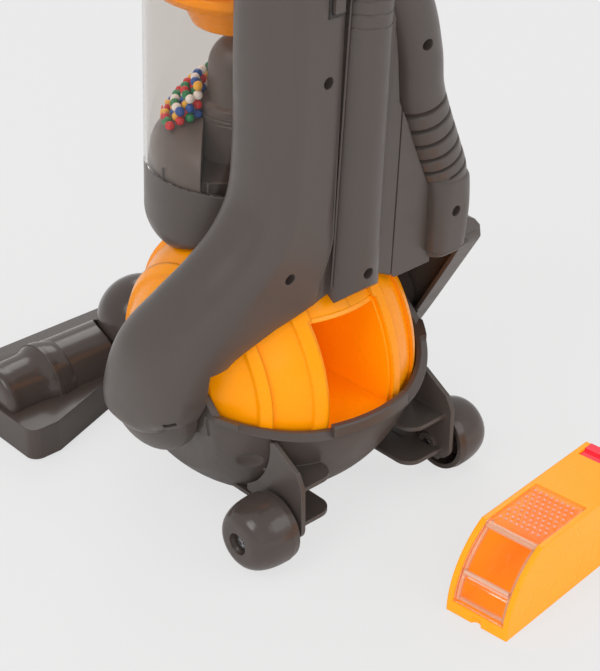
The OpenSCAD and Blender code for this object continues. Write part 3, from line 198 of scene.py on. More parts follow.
def plasticFinish(name, settings):
    material, tree, shader = newMaterial(name)
    skin = addNode(tree, "ShaderNodeGroup", {"node_tree": mouldedSkin}, Grain_Scale=settings["grainScale"],
                   Mottle_Scale=settings["mottleScale"], Rough_Low=settings["rough"][0],
                   Rough_High=settings["rough"][1])
    edge = addNode(tree, "ShaderNodeGroup", {"node_tree": softEdge}, Radius=settings["edgeRadius"])
    base = Vector(linear(*settings["colour"]))
    spread = settings["mottle"]
    tone = addNode(tree, "ShaderNodeMix", {"data_type": "RGBA"}, _0=skin.outputs["Mottle"],
                   _6=tuple(base * (1 - spread))[:3] + (1,), _7=tuple(base * (1 + spread))[:3] + (1,))
    wornAmount = addNode(tree, "ShaderNodeMath", {"operation": "MULTIPLY"}, _0=edge.outputs["Edge"],
                         _1=settings["wear"])
    worn = addNode(tree, "ShaderNodeMix", {"data_type": "RGBA"}, _0=wornAmount.outputs[0],
                   _6=tone.outputs[2], _7=linear(*settings["wornColour"]))
    bump = addNode(tree, "ShaderNodeBump", Strength=settings["grainDepth"], Distance=settings["grainHeight"],
                   Height=skin.outputs["Height"], Normal=edge.outputs["Normal"])
    # The rim setting gives the strength of the painted rim sheen
    rim = addNode(tree, "ShaderNodeGroup", {"node_tree": paintedRimSheen}, Colour=worn.outputs[2], Gain=settings["rim"])
    # The emission is painted glow, a self-lit share of the colour that stands in for light shining through the plastic
    plug(tree, shader, Base_Color=rim.outputs[0], Roughness=skin.outputs["Roughness"], Normal=bump.outputs["Normal"],
         Emission_Color=linear(*settings.get("paintedGlowColour", settings["colour"])), Emission_Strength=settings["glow"],
         Specular_IOR_Level=settings["specular"], Metallic=settings["metallic"])
    return material


# rim is the strength of the painted rim sheen; glow is painted light, a self-lit share of the colour
plainPlastic = {"grainScale": 1500, "grainDepth": 0.12, "grainHeight": 0.0002, "mottleScale": 18, "mottle": 0.05,
                "rough": (0.38, 0.5), "edgeRadius": 0.0009, "wear": 0.3, "specular": 0.5, "rim": 0.45,
                "glow": 0.0, "metallic": 0.0}
finishes = {
    "grey_plastic": {"colour": (74, 66, 62), "wornColour": (112, 104, 100), "rough": (0.30, 0.40)},
    "dark_plastic": {"colour": (70, 61, 57), "wornColour": (105, 96, 92), "rough": (0.16, 0.24), "grainDepth": 0.04,
                     "edgeRadius": 0.001},
    # The glow of the oranges is painted light for light shining through the orange plastic; the drawer glows yellower
    # than its colour
    "ball_orange": {"colour": (255, 154, 2), "wornColour": (255, 172, 40), "rough": (0.22, 0.32), "grainDepth": 0.05,
                    "rim": 0.0, "edgeRadius": 0.0018, "specular": 0.22, "glow": 0.05},
    "liner_orange": {"colour": (255, 156, 2), "wornColour": (255, 160, 30), "rough": (0.25, 0.35), "grainDepth": 0.05,
                     "rim": 0.0, "glow": 0.09},
    "drawer_orange": {"colour": (252, 152, 12), "wornColour": (255, 172, 60), "rough": (0.2, 0.3), "grainDepth": 0.05,
                      "rim": 0.0, "specular": 0.3, "glow": 0.22, "paintedGlowColour": (255, 186, 36)},
    "red_plastic": {"colour": (240, 40, 60), "wornColour": (250, 90, 100), "rough": (0.2, 0.3), "grainDepth": 0.05},
    # A lighter copy of the grey plastic: painted haze for the mound and column seen through the clear bin wall
    "bin_grey_painted_haze": {"colour": (100, 92, 88), "wornColour": (124, 116, 112), "rough": (0.35, 0.45), "grainDepth": 0.01},
    "white_plastic": {"colour": (230, 230, 226), "wornColour": (240, 240, 238)},
    "roller_black": {"colour": (44, 42, 41), "wornColour": (70, 68, 66), "rough": (0.45, 0.6)},
    "screw_steel": {"colour": (190, 192, 195), "wornColour": (220, 222, 225), "rough": (0.2, 0.35), "metallic": 1.0},
    "motor_steel": {"colour": (175, 178, 182), "wornColour": (210, 212, 215), "rough": (0.25, 0.4), "metallic": 1.0},
    "cell_gold": {"colour": (201, 162, 74), "wornColour": (220, 190, 120), "rough": (0.3, 0.4), "metallic": 0.6},
    # Near-black painted shade for the screws deep in the screw holes, whose own metal is steel
    "screw_hole_shade": {"colour": (14, 13, 12), "wornColour": (40, 38, 36), "rough": (0.4, 0.5), "rim": 0.0},
    # A pale colour with a faint glow, painted as highlight where the clear plastic's edges, bars and hole rims catch
    # light
    "pale_painted_highlight": {"colour": (232, 180, 152), "wornColour": (240, 214, 200), "rough": (0.1, 0.2), "grainDepth": 0.02,
                  "rim": 0.0, "glow": 0.05},
    "bead_red": {"colour": (205, 45, 48), "wornColour": (220, 90, 90), "rough": (0.2, 0.3)},
    "bead_blue": {"colour": (38, 84, 160), "wornColour": (80, 120, 180), "rough": (0.2, 0.3)},
    "bead_green": {"colour": (40, 130, 80), "wornColour": (90, 160, 120), "rough": (0.2, 0.3)},
    "bead_yellow": {"colour": (238, 182, 60), "wornColour": (245, 205, 120), "rough": (0.2, 0.3)},
    "bead_white": {"colour": (236, 232, 226), "wornColour": (245, 243, 240), "rough": (0.2, 0.3)},
}
materials = {name: plasticFinish(name, {**plainPlastic, **own}) for name, own in finishes.items()}


def clearFinish(name, settings):
    material, tree, shader = newMaterial(name)
    skin = addNode(tree, "ShaderNodeGroup", {"node_tree": mouldedSkin}, Mottle_Scale=settings["mottleScale"],
                   Rough_Low=settings["rough"][0], Rough_High=settings["rough"][1])
    plug(tree, shader, Roughness=skin.outputs["Roughness"], Base_Color=linear(*settings["colour"]),
         Transmission_Weight=1.0, IOR=settings["ior"])
    through = addNode(tree, "ShaderNodeGroup", {"node_tree": lightThrough}, Surface=shader.outputs[0],
                      Tint=linear(*settings["tint"]))
    plug(tree, tree.nodes["Material Output"], Surface=through.outputs[0])
    return material


clearFinishes = {
    "clear_plastic": {"colour": (234, 230, 227), "tint": (250, 246, 243), "rough": (0.0, 0.03), "ior": 1.25,
                      "mottleScale": 14},
    "clear_cover": {"colour": (255, 252, 248), "tint": (250, 240, 230), "rough": (0.14, 0.24), "ior": 1.2,
                    "mottleScale": 14},
}
materials.update({name: clearFinish(name, own) for name, own in clearFinishes.items()})
nodeSlot = {row["node"]: row["material_slot"] for row in frame["record"]["subparts"]}
for nodeName, solid in nodes.items():
    solid.data.materials.clear()
    solid.data.materials.append(materials[nodeSlot[nodeName]])
print("finishes ready:", len(materials))


# Floor, world and lamps
stageSettings = {"backgroundTone": 235, "floorSize": 8.0, "floorDrop": 0.0004, "floorRough": 0.9, "floorShine": 0.1,
                 "shadowShare": 0.18, "worldLight": 0.62}


def seenRay(tree):
    path = addNode(tree, "ShaderNodeLightPath")
    return addNode(tree, "ShaderNodeMath", {"operation": "MAXIMUM"}, _0=path.outputs["Is Camera Ray"],
                   _1=path.outputs["Is Transmission Ray"]).outputs[0]


def buildFloor(settings, tone):
    mesh = bpy.data.meshes.new("floor")
    half, drop = settings["floorSize"] / 2, -settings["floorDrop"]
    corners = [(-half, -half, drop), (half, -half, drop), (half, half, drop), (-half, half, drop)]
    mesh.from_pydata(corners, [], [(0, 1, 2, 3)])
    floor = addObject("floor", mesh)
    material, tree, shader = newMaterial("floorCard")
    plug(tree, shader, Base_Color=tone, Roughness=settings["floorRough"], Specular_IOR_Level=settings["floorShine"])
    glow = addNode(tree, "ShaderNodeEmission", Color=tone, Strength=1.0)
    share = addNode(tree, "ShaderNodeMath", {"operation": "MULTIPLY"}, _0=seenRay(tree), _1=1 - settings["shadowShare"])
    blend = addNode(tree, "ShaderNodeMixShader", _0=share.outputs[0], _1=shader.outputs[0], _2=glow.outputs[0])
    plug(tree, tree.nodes["Material Output"], Surface=blend.outputs[0])
    mesh.materials.append(material)


def buildWorld(settings, tone):
    world = bpy.data.worlds.new("studio")
    world.use_nodes = True
    tree = world.node_tree
    plain = tree.nodes["Background"]
    plug(tree, plain, Color=(1, 1, 1, 1), Strength=settings["worldLight"])
    shown = addNode(tree, "ShaderNodeBackground", Color=tone, Strength=1.0)
    blend = addNode(tree, "ShaderNodeMixShader", _0=seenRay(tree), _1=plain.outputs[0], _2=shown.outputs[0])
    plug(tree, tree.nodes["World Output"], Surface=blend.outputs[0])
    bpy.context.scene.world = world


lampSettings = {
    "keyLamp": {"place": (1.5, 0.2, 1.7), "aim": (0, 0, 0.2), "size": 1.2, "power": 12, "mirrored": True},
    "fillLamp": {"place": (-0.8, 1.7, 1.3), "aim": (0, 0, 0.2), "size": 1.4, "power": 6.5, "mirrored": True},
    "rimLamp": {"place": (-1.0, -1.2, 1.6), "aim": (0, 0, 0.3), "size": 1.2, "power": 8, "mirrored": True},
    "lowLamp": {"place": (1.25, 1.65, 0.7), "aim": (0, 0, 0.08), "size": 1.0, "power": 13, "mirrored": False},
}


def addLamp(name, settings):
    data = bpy.data.lights.new(name, "AREA")
    data.shape = "DISK"
    data.size = settings["size"]
    data.energy = settings["power"]
    lamp = addObject(name, data)
    lamp.location = settings["place"]
    toAim = Vector(settings["aim"]) - Vector(settings["place"])
    lamp.rotation_euler = toAim.to_track_quat("-Z", "Y").to_euler()
    lamp.visible_glossy = settings["mirrored"]
    lamp.visible_transmission = settings["mirrored"]


backgroundTone = linear(*[stageSettings["backgroundTone"]] * 3)
buildFloor(stageSettings, backgroundTone)
buildWorld(stageSettings, backgroundTone)
for name, own in lampSettings.items():
    addLamp(name, own)
bpy.context.scene.view_settings.view_transform = "Standard"
print("stage and lamps ready")


# Mesh helpers
turnSides = {"large": 96, "middle": 64, "small": 32, "tiny": 16}


@contextmanager
def editing(mesh):
    shape = bmesh.new()
    shape.from_mesh(mesh)
    yield shape
    shape.to_mesh(mesh)
    shape.free()


def smoothByAngle(mesh, angle):
    limit = radians(angle)
    with editing(mesh) as shape:
        for face in shape.faces:
            face.smooth = True
        for edge in shape.edges:
            edge.smooth = len(edge.link_faces) == 2 and edge.calc_face_angle(0) < limit


def meshObject(name, points, faces=(), place=None, edges=()):
    mesh = bpy.data.meshes.new(name)
    mesh.from_pydata([tuple(p) for p in points], edges, faces)
    if place is not None:
        mesh.transform(place)
        if place.determinant() < 0:
            mesh.flip_normals()
    return addObject(name, mesh)


def fixNormals(item):
    with editing(item.data) as shape:
        bmesh.ops.remove_doubles(shape, verts=shape.verts, dist=1e-7)
        bmesh.ops.recalc_face_normals(shape, faces=shape.faces)
    return item


def loft(name, rings, place=None):
    count = len(rings[0])
    points = [p for ring in rings for p in ring]
    faces = []
    for i in range(len(rings) - 1):
        for j in range(count):
            k = (j + 1) % count
            faces.append((i * count + j, i * count + k, (i + 1) * count + k, (i + 1) * count + j))
    faces.append(tuple(range(count - 1, -1, -1)))
    faces.append(tuple((len(rings) - 1) * count + j for j in range(count)))
    return fixNormals(meshObject(name, points, faces, place))


def lathe(name, profile, sides, place=None):
    turns = evenSteps(0, tau, sides)[:-1]
    return loft(name, [[(r * cos(turn), r * sin(turn), z) for turn in turns] for r, z in profile], place)


def boxPiece(name, low, high, place=None):
    xs, ys, zs = zip(low, high)
    points = [(x, y, z) for z in zs for y in ys for x in xs]
    faces = [(0, 2, 3, 1), (4, 5, 7, 6), (0, 1, 5, 4), (2, 6, 7, 3), (0, 4, 6, 2), (1, 3, 7, 5)]
    return meshObject(name, points, faces, place)


def applyModifiers(item):
    graph = bpy.context.evaluated_depsgraph_get()
    mesh = bpy.data.meshes.new_from_object(item.evaluated_get(graph))
    item.modifiers.clear()
    item.data = mesh


def carve(item, cutters):
    for cutter in cutters:
        modifier = item.modifiers.new("cut", "BOOLEAN")
        modifier.operation = "DIFFERENCE"
        modifier.solver = "EXACT"
        modifier.object = cutter
    bpy.context.view_layer.update()
    applyModifiers(item)
    for cutter in cutters:
        bpy.data.objects.remove(cutter)


def ball(name, radius, place, steps=48):
    profile = [(max(radius * sin(turn), 0.001), -radius * cos(turn)) for turn in evenSteps(0, pi, steps)]
    return lathe(name, profile, 2 * steps, place)


def finishPiece(item, slot, body, *replaced, angle=35, finish=None):
    smoothByAngle(item.data, angle)
    item.data.materials.clear()
    item.data.materials.append(materials[finish or slot])
    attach(item, body)
    if replaced:
        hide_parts(*replaced)


def copyNode(name, node):
    mesh = nodes[node].data.copy()
    mesh.transform(nodes[node].matrix_world)
    with editing(mesh) as shape:
        bmesh.ops.remove_doubles(shape, verts=shape.verts, dist=2e-6)
    return addObject(name, mesh)


def prism(name, outline, low, high, place):
    count = len(outline)
    points = [(x, low, z) for x, z in outline] + [(x, high, z) for x, z in outline]
    faces = [tuple(range(count)), tuple(range(2 * count - 1, count - 1, -1))]
    faces += [(i, i + count, (i + 1) % count + count, (i + 1) % count) for i in range(count)]
    return fixNormals(meshObject(name, points, faces, place))


def screwHole(place, radius, depth=24):
    outward = uprightFrame @ Matrix.Translation(place) @ alongY
    return lathe("holeCut", [(radius, 0), (radius, depth)], turnSides["small"], outward)


def slopeCutter(angle, reach=400):
    sloping = uprightFrame @ Matrix.Rotation(radians(angle), 4, "X")
    return boxPiece("slopeCut", (-reach, 0, -reach), (reach, reach, 0), sloping)


def wireObject(name, places):
    return meshObject(name, places, edges=[(i, i + 1) for i in range(len(places) - 1)])


def axesFrame(at, first, normal):
    third = Vector(normal).normalized()
    one = (Vector(first) - Vector(first).dot(third) * third).normalized()
    two = third.cross(one)
    return Matrix.Translation(at) @ Matrix((one, two, third)).transposed().to_4x4()


# Geometry node helpers
def newTree(name, inputs):
    tree = bpy.data.node_groups.new(name, "GeometryNodeTree")
    tree.interface.new_socket("Geometry", in_out="INPUT", socket_type="NodeSocketGeometry")
    for label, kind in inputs:
        tree.interface.new_socket(label, in_out="INPUT", socket_type=kind)
    tree.interface.new_socket("Geometry", in_out="OUTPUT", socket_type="NodeSocketGeometry")
    return tree, tree.nodes.new("NodeGroupInput").outputs, tree.nodes.new("NodeGroupOutput").inputs


def runTree(item, tree, values):
    modifier = item.modifiers.new(tree.name, "NODES")
    modifier.node_group = tree
    for socket in tree.interface.items_tree:
        if socket.in_out == "INPUT" and socket.name in values:
            modifier[socket.identifier] = values[socket.name]
    bpy.context.view_layer.update()
    applyModifiers(item)


def endTree(tree, shape, given, result):
    whole = addNode(tree, "GeometryNodeRealizeInstances", Geometry=shape.outputs[0])
    dressed = addNode(tree, "GeometryNodeSetMaterial", Geometry=whole.outputs[0], Material=given["Finish"])
    tree.links.new(dressed.outputs[0], result["Geometry"])
    return tree


def bulge(share, power):
    return copysign(abs(share) ** power, share)


# Swept covers: each row holds x, y, z, the half widths out, in, rear and front and the inner rear corner
def rowAt(rows, s):
    last = len(rows) - 1
    i = min(int(s), last - 1)
    f = s - i
    a, b, c, d = rows[max(i - 1, 0)], rows[i], rows[i + 1], rows[min(i + 2, last)]
    return [(2 * q + (r - p) * f + (2 * p - 5 * q + 4 * r - t) * f * f + (3 * q - 3 * r + t - p) * f ** 3) / 2
            for p, q, r, t in zip(a, b, c, d)]


def edgeAt(z, settings):
    f = min(max((settings["swingFrom"] - z) / settings["swingHeight"], 0), 1)
    return settings["edgeX"] + settings["swing"] * f * f * (3 - 2 * f)


def ringAt(rows, s, sides, edge):
    last = len(rows) - 1
    row = rowAt(rows, s)
    look = edge["look"]
    ahead, behind = rowAt(rows, min(s + look, last)), rowAt(rows, max(s - look, 0))
    tangent = (Vector(ahead[:3]) - Vector(behind[:3])).normalized()
    rear = (Vector((0, 1, 0)) - tangent.y * tangent).normalized()
    out = tangent.cross(rear)
    ring = []
    for j in range(sides):
        angle = 2 * pi * (j + 0.5) / sides
        c, w = cos(angle), sin(angle)
        power = 2 / (row[7] if c < 0 < w else edge["squareness"])
        p = (row[3] if c > 0 else row[4]) * bulge(c, power)
        q = (row[5] if w > 0 else row[6]) * bulge(w, power)
        point = Vector(row[:3]) + p * out + q * rear
        ring.append((max(point.x, edgeAt(point.z, edge)), point.y, point.z))
    return ring


ductSettings = {
    "rows": [(34, 36, 306, 20, 23, 21.5, 20, 7), (34, 36, 250, 20, 23, 22, 20, 7), (34, 36, 190, 19.5, 23, 22.3, 20, 7),
             (34, 36, 140, 19, 23, 22.5, 20, 7), (36, 36, 110, 20, 25, 22.5, 21, 7), (45, 35, 86, 22, 44, 22.5, 23, 6),
             (58, 29, 66, 23, 38, 23, 23, 4), (70, 19, 47, 23.5, 26, 26, 23, 3), (79, 8, 27, 23, 23, 33, 24, 3),
             (83, 1, 5, 20, 20, 31, 24, 3), (83, 0, -7, 18, 18, 23, 22, 2.5), (83, 0, -17, 9, 10, 12, 12, 2.3)],
    "steps": 165, "sides": 96, "edgeX": 11.5, "swing": 9.0, "swingFrom": 104.0, "swingHeight": 42.0,
    "look": 0.05, "squareness": 2.3, "stepLow": (-90, -90, 0), "stepHigh": (17.3, 54.6, 400), "archRadius": 81.4,
    "earRadius": 50.0, "earDepth": 75.5, "hubIn": 75.0, "hubRadius": 31.2, "hubEnd": 10.0, "hubPower": 1.7,
    "hubStart": -1.0, "hubFlat": 5.0, "hubDome": 15.2, "screws": [(23, 46, 176), (40.5, 46, 79)], "screwRadius": 3.0,
    "sleeveX": -1.6, "sleeveY": 53.0, "sleeveLow": (16.4, 40.0), "sleeveTop": (12.6, 330.0),
    "switchLow": (15.4, 56.4, 206.9), "switchHigh": (25.1, 62.0, 231.1),
    "slotAt": (92.3, 30.4, 1.8), "slotAlong": (-2.5, 1.6, 1.0), "slotNormal": (0.37, 0.8, -0.47),
    "slotHalf": (3.3, 1.6, 12.0)}


def superDome(radius, endRadius, height, power, steps=12):
    return [(endRadius + (radius - endRadius) * bulge(cos(turn), 2 / power),
             height * bulge(sin(turn), 2 / power)) for turn in evenSteps(0, pi / 2, steps)]


def buildDuct(settings):
    rows = settings["rows"]
    duct = loft("ductShell", [ringAt(rows, s, settings["sides"], settings)
                              for s in evenSteps(0, len(rows) - 1, settings["steps"])], uprightFrame)
    hub = [(settings["hubRadius"], settings["hubStart"])] + [(r, z + settings["hubFlat"]) for r, z in superDome(
        settings["hubRadius"], settings["hubEnd"], settings["hubDome"], settings["hubPower"])]
    ear = [(settings["earRadius"], 0), (settings["earRadius"], settings["earDepth"])]
    sleeveAt = uprightFrame @ Matrix.Translation((settings["sleeveX"], settings["sleeveY"], 0))
    hubAt = uprightFrame @ Matrix.Translation((settings["hubIn"], 0, 0)) @ alongX
    sides = turnSides["large"]
    cutters = [boxPiece("stepCut", settings["stepLow"], settings["stepHigh"], uprightFrame),
               lathe("sleeveCut", [settings["sleeveLow"], settings["sleeveTop"]], sides, sleeveAt),
               ball("archCut", settings["archRadius"], uprightFrame),
               lathe("earCut", ear, sides, uprightFrame @ alongX),
               lathe("hubCut", hub, sides, hubAt)]
    cutters += [screwHole(place, settings["screwRadius"]) for place in settings["screws"]]
    cutters.append(boxPiece("switchCut", settings["switchLow"], settings["switchHigh"], uprightFrame))
    half = settings["slotHalf"]
    cutters.append(boxPiece("slotCut", [-c for c in half], half, uprightFrame @ axesFrame(
        settings["slotAt"], settings["slotAlong"], settings["slotNormal"])))
    carve(duct, cutters)
    finishPiece(duct, "grey_plastic", "upright", "left_duct", angle=40)
    return duct


ductShell = buildDuct(ductSettings)
print("duct shell made")

# Ribbed side hose, swept along its middle line by a node tree
hoseSettings = {
    "rows": [(-16, 47, 226, 11.6), (-33.4, 47, 198, 14.0), (-42.8, 47, 172, 14.1), (-46.3, 47, 152, 14.2),
             (-54, 47, 132, 14.5), (-63, 47, 113, 14.5), (-69.6, 47, 98, 14.2), (-70.6, 47, 84, 11.6),
             (-70.6, 47, 74, 11.0)],
    "samples": 560, "sides": 64, "grooveFrom": 3.36, "grooveTo": 5.65, "grooves": 6, "grooveDepth": 3.0,
    "grooveShare": 0.17, "screws": [(-38, 52, 180), (-69, 52, 82)], "screwRadius": 3.0}


def buildHoseTree():
    tree, given, result = newTree("ribbedHose", [("Sides", "NodeSocketInt"), ("Groove Depth", "NodeSocketFloat"),
                                                 ("Groove Share", "NodeSocketFloat"), ("Finish", "NodeSocketMaterial")])
    curve = addNode(tree, "GeometryNodeMeshToCurve", Mesh=given["Geometry"])
    radius = addNode(tree, "GeometryNodeInputNamedAttribute", Name="hoseRadius")
    turn = addNode(tree, "GeometryNodeInputNamedAttribute", Name="grooveTurn")
    nearest = addNode(tree, "ShaderNodeMath", {"operation": "PINGPONG"}, _0=turn.outputs[0], _1=0.5)
    depth = addNode(tree, "ShaderNodeMapRange", {"interpolation_type": "SMOOTHSTEP"}, Value=nearest.outputs[0],
                    From_Min=0.0, From_Max=given["Groove Share"], To_Min=given["Groove Depth"], To_Max=0.0)
    scale = addNode(tree, "ShaderNodeMath", {"operation": "SUBTRACT"}, _0=radius.outputs[0], _1=depth.outputs["Result"])
    profile = addNode(tree, "GeometryNodeCurvePrimitiveCircle", Resolution=given["Sides"], Radius=1.0)
    tube = addNode(tree, "GeometryNodeCurveToMesh", Curve=curve.outputs[0], Profile_Curve=profile.outputs[0],
                   Scale=scale.outputs[0], Fill_Caps=True)
    return endTree(tree, tube, given, result)


def buildHose(settings):
    rows = settings["rows"]
    places, radii, turns = [], [], []
    for s in evenSteps(0, len(rows) - 1, settings["samples"]):
        row = rowAt(rows, s)
        places.append(row[:3])
        radii.append(row[3])
        share = (s - settings["grooveFrom"]) / (settings["grooveTo"] - settings["grooveFrom"])
        turns.append(min(max(share * (settings["grooves"] - 1), -0.5), settings["grooves"] - 0.5))
    hose = wireObject("hoseShell", places)
    for label, values in (("hoseRadius", radii), ("grooveTurn", turns)):
        hose.data.attributes.new(label, "FLOAT", "POINT").data.foreach_set("value", values)
    runTree(hose, buildHoseTree(), {"Sides": settings["sides"], "Groove Depth": settings["grooveDepth"],
                                    "Groove Share": settings["grooveShare"], "Finish": materials["grey_plastic"]})
    hose.data.transform(uprightFrame)
    fixNormals(hose)
    carve(hose, [screwHole(place, settings["screwRadius"]) for place in settings["screws"]])
    finishPiece(hose, "grey_plastic", "upright", "side_hose", angle=50)


buildHose(hoseSettings)
print("side hose made")


# Loose beads: a pile of balls against the column, turned and squashed a little at random
beadSettings = {"radius": 2.4, "columnRadius": 18.3, "moundRadius": 44.6, "moundBase": 97.6, "skirt": 6.2, "rise": 18.0,
                "middle": -52.0, "spread": 40.0, "rings": 4, "gap": 0.35, "standOff": 0.8, "lift": 0.3, "nesting": 0.98,
                "smallest": (0.94, 0.94, 0.9), "largest": (1.06, 1.06, 1.06), "seed": 7,
                "colours": ["red", "blue", "green", "yellow", "white"]}


def beadPlaces(settings):
    radius, column, mound = settings["radius"], settings["columnRadius"], settings["moundRadius"]
    pitch = 2 * radius + settings["gap"]
    rise = pitch * settings["nesting"]
    places = []
    for ring in range(settings["rings"]):
        r = column + radius + settings["standOff"] + ring * rise
        x = min(max((r - radius - column) / (mound - column), 0), 1)
        slope = settings["moundBase"] + settings["skirt"] + settings["rise"] * sqrt(1 - x * x)
        step = 2 * degrees(asin(pitch / 2 / r))
        count = int(settings["spread"] * 2 / step)
        for layer in range(settings["rings"] - ring):
            z = slope + radius + settings["lift"] + layer * rise
            for k in range(count + 1):
                angle = radians(settings["middle"] + (k - count / 2) * step)
                places.append((r * cos(angle), r * sin(angle), z))
    return places


def buildBeadTree():
    tree, given, result = newTree("beadPile", [
        ("Bead", "NodeSocketObject"), ("Seed", "NodeSocketInt"), ("Smallest", "NodeSocketVector"),
        ("Largest", "NodeSocketVector"), ("Finish", "NodeSocketMaterial")])
    bead = addNode(tree, "GeometryNodeObjectInfo", Object=given["Bead"])
    turn = addNode(tree, "FunctionNodeRandomValue", {"data_type": "FLOAT_VECTOR"}, _0=(0, 0, 0), _1=(tau,) * 3,
                   Seed=given["Seed"])
    size = addNode(tree, "FunctionNodeRandomValue", {"data_type": "FLOAT_VECTOR"}, _0=given["Smallest"],
                   _1=given["Largest"], Seed=given["Seed"])
    pile = addNode(tree, "GeometryNodeInstanceOnPoints", Points=given["Geometry"], Instance=bead.outputs["Geometry"],
                   Rotation=turn.outputs[0], Scale=size.outputs[0])
    return endTree(tree, pile, given, result)


def buildBeads(settings):
    radius = settings["radius"]
    bead = boxPiece("beadShape", (-radius, -radius, -radius), (radius, radius, radius))
    modifier = bead.modifiers.new("round", "SUBSURF")
    modifier.levels = modifier.render_levels = 3
    applyModifiers(bead)
    for point in bead.data.vertices:
        point.co = point.co.normalized() * radius
    tree = buildBeadTree()
    places = beadPlaces(settings)
    count = len(settings["colours"])
    for first, colour in enumerate(settings["colours"]):
        own = [place for i, place in enumerate(places) if (i * 7 + i // 3) % count == first]
        node, slot = "beads_" + colour, "bead_" + colour
        pile = meshObject(node + "Pile", own)
        runTree(pile, tree, {"Bead": bead, "Seed": settings["seed"] + first, "Smallest": settings["smallest"],
                             "Largest": settings["largest"], "Finish": materials[slot]})
        pile.data.transform(binFrame)
        finishPiece(pile, slot, "upright", node, angle=60)
    bpy.data.objects.remove(bead)


buildBeads(beadSettings)
print("beads piled")


# Wand sleeve: a tapering trough with stepped rings near its top
sleeveSettings = {"wandX": -2.4, "wandY": 53.0, "lowRadius": 15.4, "topRadius": 11.6, "low": 40.0, "top": 330.0,
                  "cutLow": 46.0, "rings": (199.0, 205.5, 212.0), "ringWidth": 1.4, "ringFlat": 0.56, "ringDepth": 0.5,
                  "topEdge": [(0.0, 1.2), (0.6, 0.3), (1.2, 0.0)], "bore": 10.56, "boreX": -1.6, "boreFrom": 84.0,
                  "boreTo": 335.0, "archRadius": 81.4, "archSlope": 43.5, "screw": (-1.6, 59, 72), "screwRadius": 3.0}


def buildSleeve(settings):
    low, top = settings["low"], settings["top"]

    def radiusAt(z):
        return settings["lowRadius"] + (settings["topRadius"] - settings["lowRadius"]) * (z - low) / (top - low)

    profile = [(radiusAt(settings["cutLow"]), settings["cutLow"])]
    half, flat = settings["ringWidth"] / 2, settings["ringFlat"] / 2
    for z in settings["rings"]:
        deep = radiusAt(z) - settings["ringDepth"]
        profile += [(radiusAt(z - half), z - half), (deep, z - flat), (deep, z + flat), (radiusAt(z + half), z + half)]
    profile += [(radiusAt(top - drop) - inset, top - drop) for inset, drop in settings["topEdge"]]
    place = uprightFrame @ Matrix.Translation((settings["wandX"], settings["wandY"], 0))
    sleeve = lathe("sleeveShell", profile, turnSides["large"], place)
    bore = [(settings["bore"], settings["boreFrom"]), (settings["bore"], settings["boreTo"])]
    boreAt = uprightFrame @ Matrix.Translation((settings["boreX"], settings["wandY"], 0))
    carve(sleeve, [slopeCutter(settings["archSlope"]), ball("archCut", settings["archRadius"], uprightFrame),
                   lathe("boreCut", bore, turnSides["middle"], boreAt),
                   screwHole(settings["screw"], settings["screwRadius"])])
    finishPiece(sleeve, "grey_plastic", "upright", "wand_sleeve", angle=35)


buildSleeve(sleeveSettings)
print("wand sleeve made")


# A line of moulded edge, laid on a surface as a thin round strip
def buildLineTree():
    tree, given, result = newTree("mouldedLine", [("Radius", "NodeSocketFloat"), ("Sides", "NodeSocketInt"),
                                                  ("Finish", "NodeSocketMaterial")])
    curve = addNode(tree, "GeometryNodeMeshToCurve", Mesh=given["Geometry"])
    profile = addNode(tree, "GeometryNodeCurvePrimitiveCircle", Resolution=given["Sides"], Radius=given["Radius"])
    tube = addNode(tree, "GeometryNodeCurveToMesh", Curve=curve.outputs[0], Profile_Curve=profile.outputs[0],
                   Fill_Caps=True)
    return endTree(tree, tube, given, result)


lineTree = buildLineTree()


def layLine(name, places, radius, sides=12):
    item = wireObject(name, places)
    runTree(item, lineTree, {"Radius": radius * mm, "Sides": sides, "Finish": materials["grey_plastic"]})
    finishPiece(fixNormals(item), "grey_plastic", "upright", angle=60)


lineSettings = {"top": 302.0, "bottom": 66.0, "step": 3.0, "inset": 0.7, "radius": 0.6, "sink": 0.25, "rayFrom": 90.0,
                "stripLow": 64.0, "stripTop": 300.0, "stripSteps": 40, "stripY": 57.2, "stripInset": 0.95,
                "stripRadius": 0.6}


def buildEdgeLines(settings):
    mesh = ductShell.data
    surface = BVHTree.FromPolygons([v.co for v in mesh.vertices], [p.vertices for p in mesh.polygons])
    toFront = (uprightFrame.to_3x3() @ Vector((0, -1, 0))).normalized()
    places = []
    z = settings["top"]
    while z > settings["bottom"]:
        start = uprightFrame @ Vector((edgeAt(z, ductSettings) + settings["inset"], settings["rayFrom"], z))
        hit = surface.ray_cast(start, toFront)[0]
        if hit is not None:
            places.append(hit + toFront * settings["sink"] * mm)
        z -= settings["step"]
    layLine("ductEdge", places, settings["radius"])
    low, top = ductSettings["sleeveLow"], ductSettings["sleeveTop"]
    rise = settings["stripY"] - ductSettings["sleeveY"]
    middle = ductSettings["sleeveX"] - settings["stripInset"]
    places = []
    for z in evenSteps(settings["stripLow"], settings["stripTop"], settings["stripSteps"]):
        radius = low[0] + (top[0] - low[0]) * (z - low[1]) / (top[1] - low[1])
        places.append(uprightFrame @ Vector((middle + sqrt(radius ** 2 - rise ** 2), settings["stripY"], z)))
    layLine("sleeveStrip", places, settings["stripRadius"])


buildEdgeLines(lineSettings)

# Rear cover with its seam beside the wand sleeve and the narrow gap beside the hose
coverSettings = {"seam": [(-32.4, 149.5), (-33.0, 101.7), (-33.5, 50.0)], "seamHalf": 0.45, "seamDepth": 1.3,
                 "face": 53.0, "clear": 4.0, "gapDepth": 9.0,
                 "gap": [(-24.4, 191.0), (-26.0, 180.0), (-27.9, 168.0), (-30.0, 157.0), (-32.3, 147.0),
                         (-34.2, 157.0), (-34.0, 170.0), (-30.0, 184.0)]}


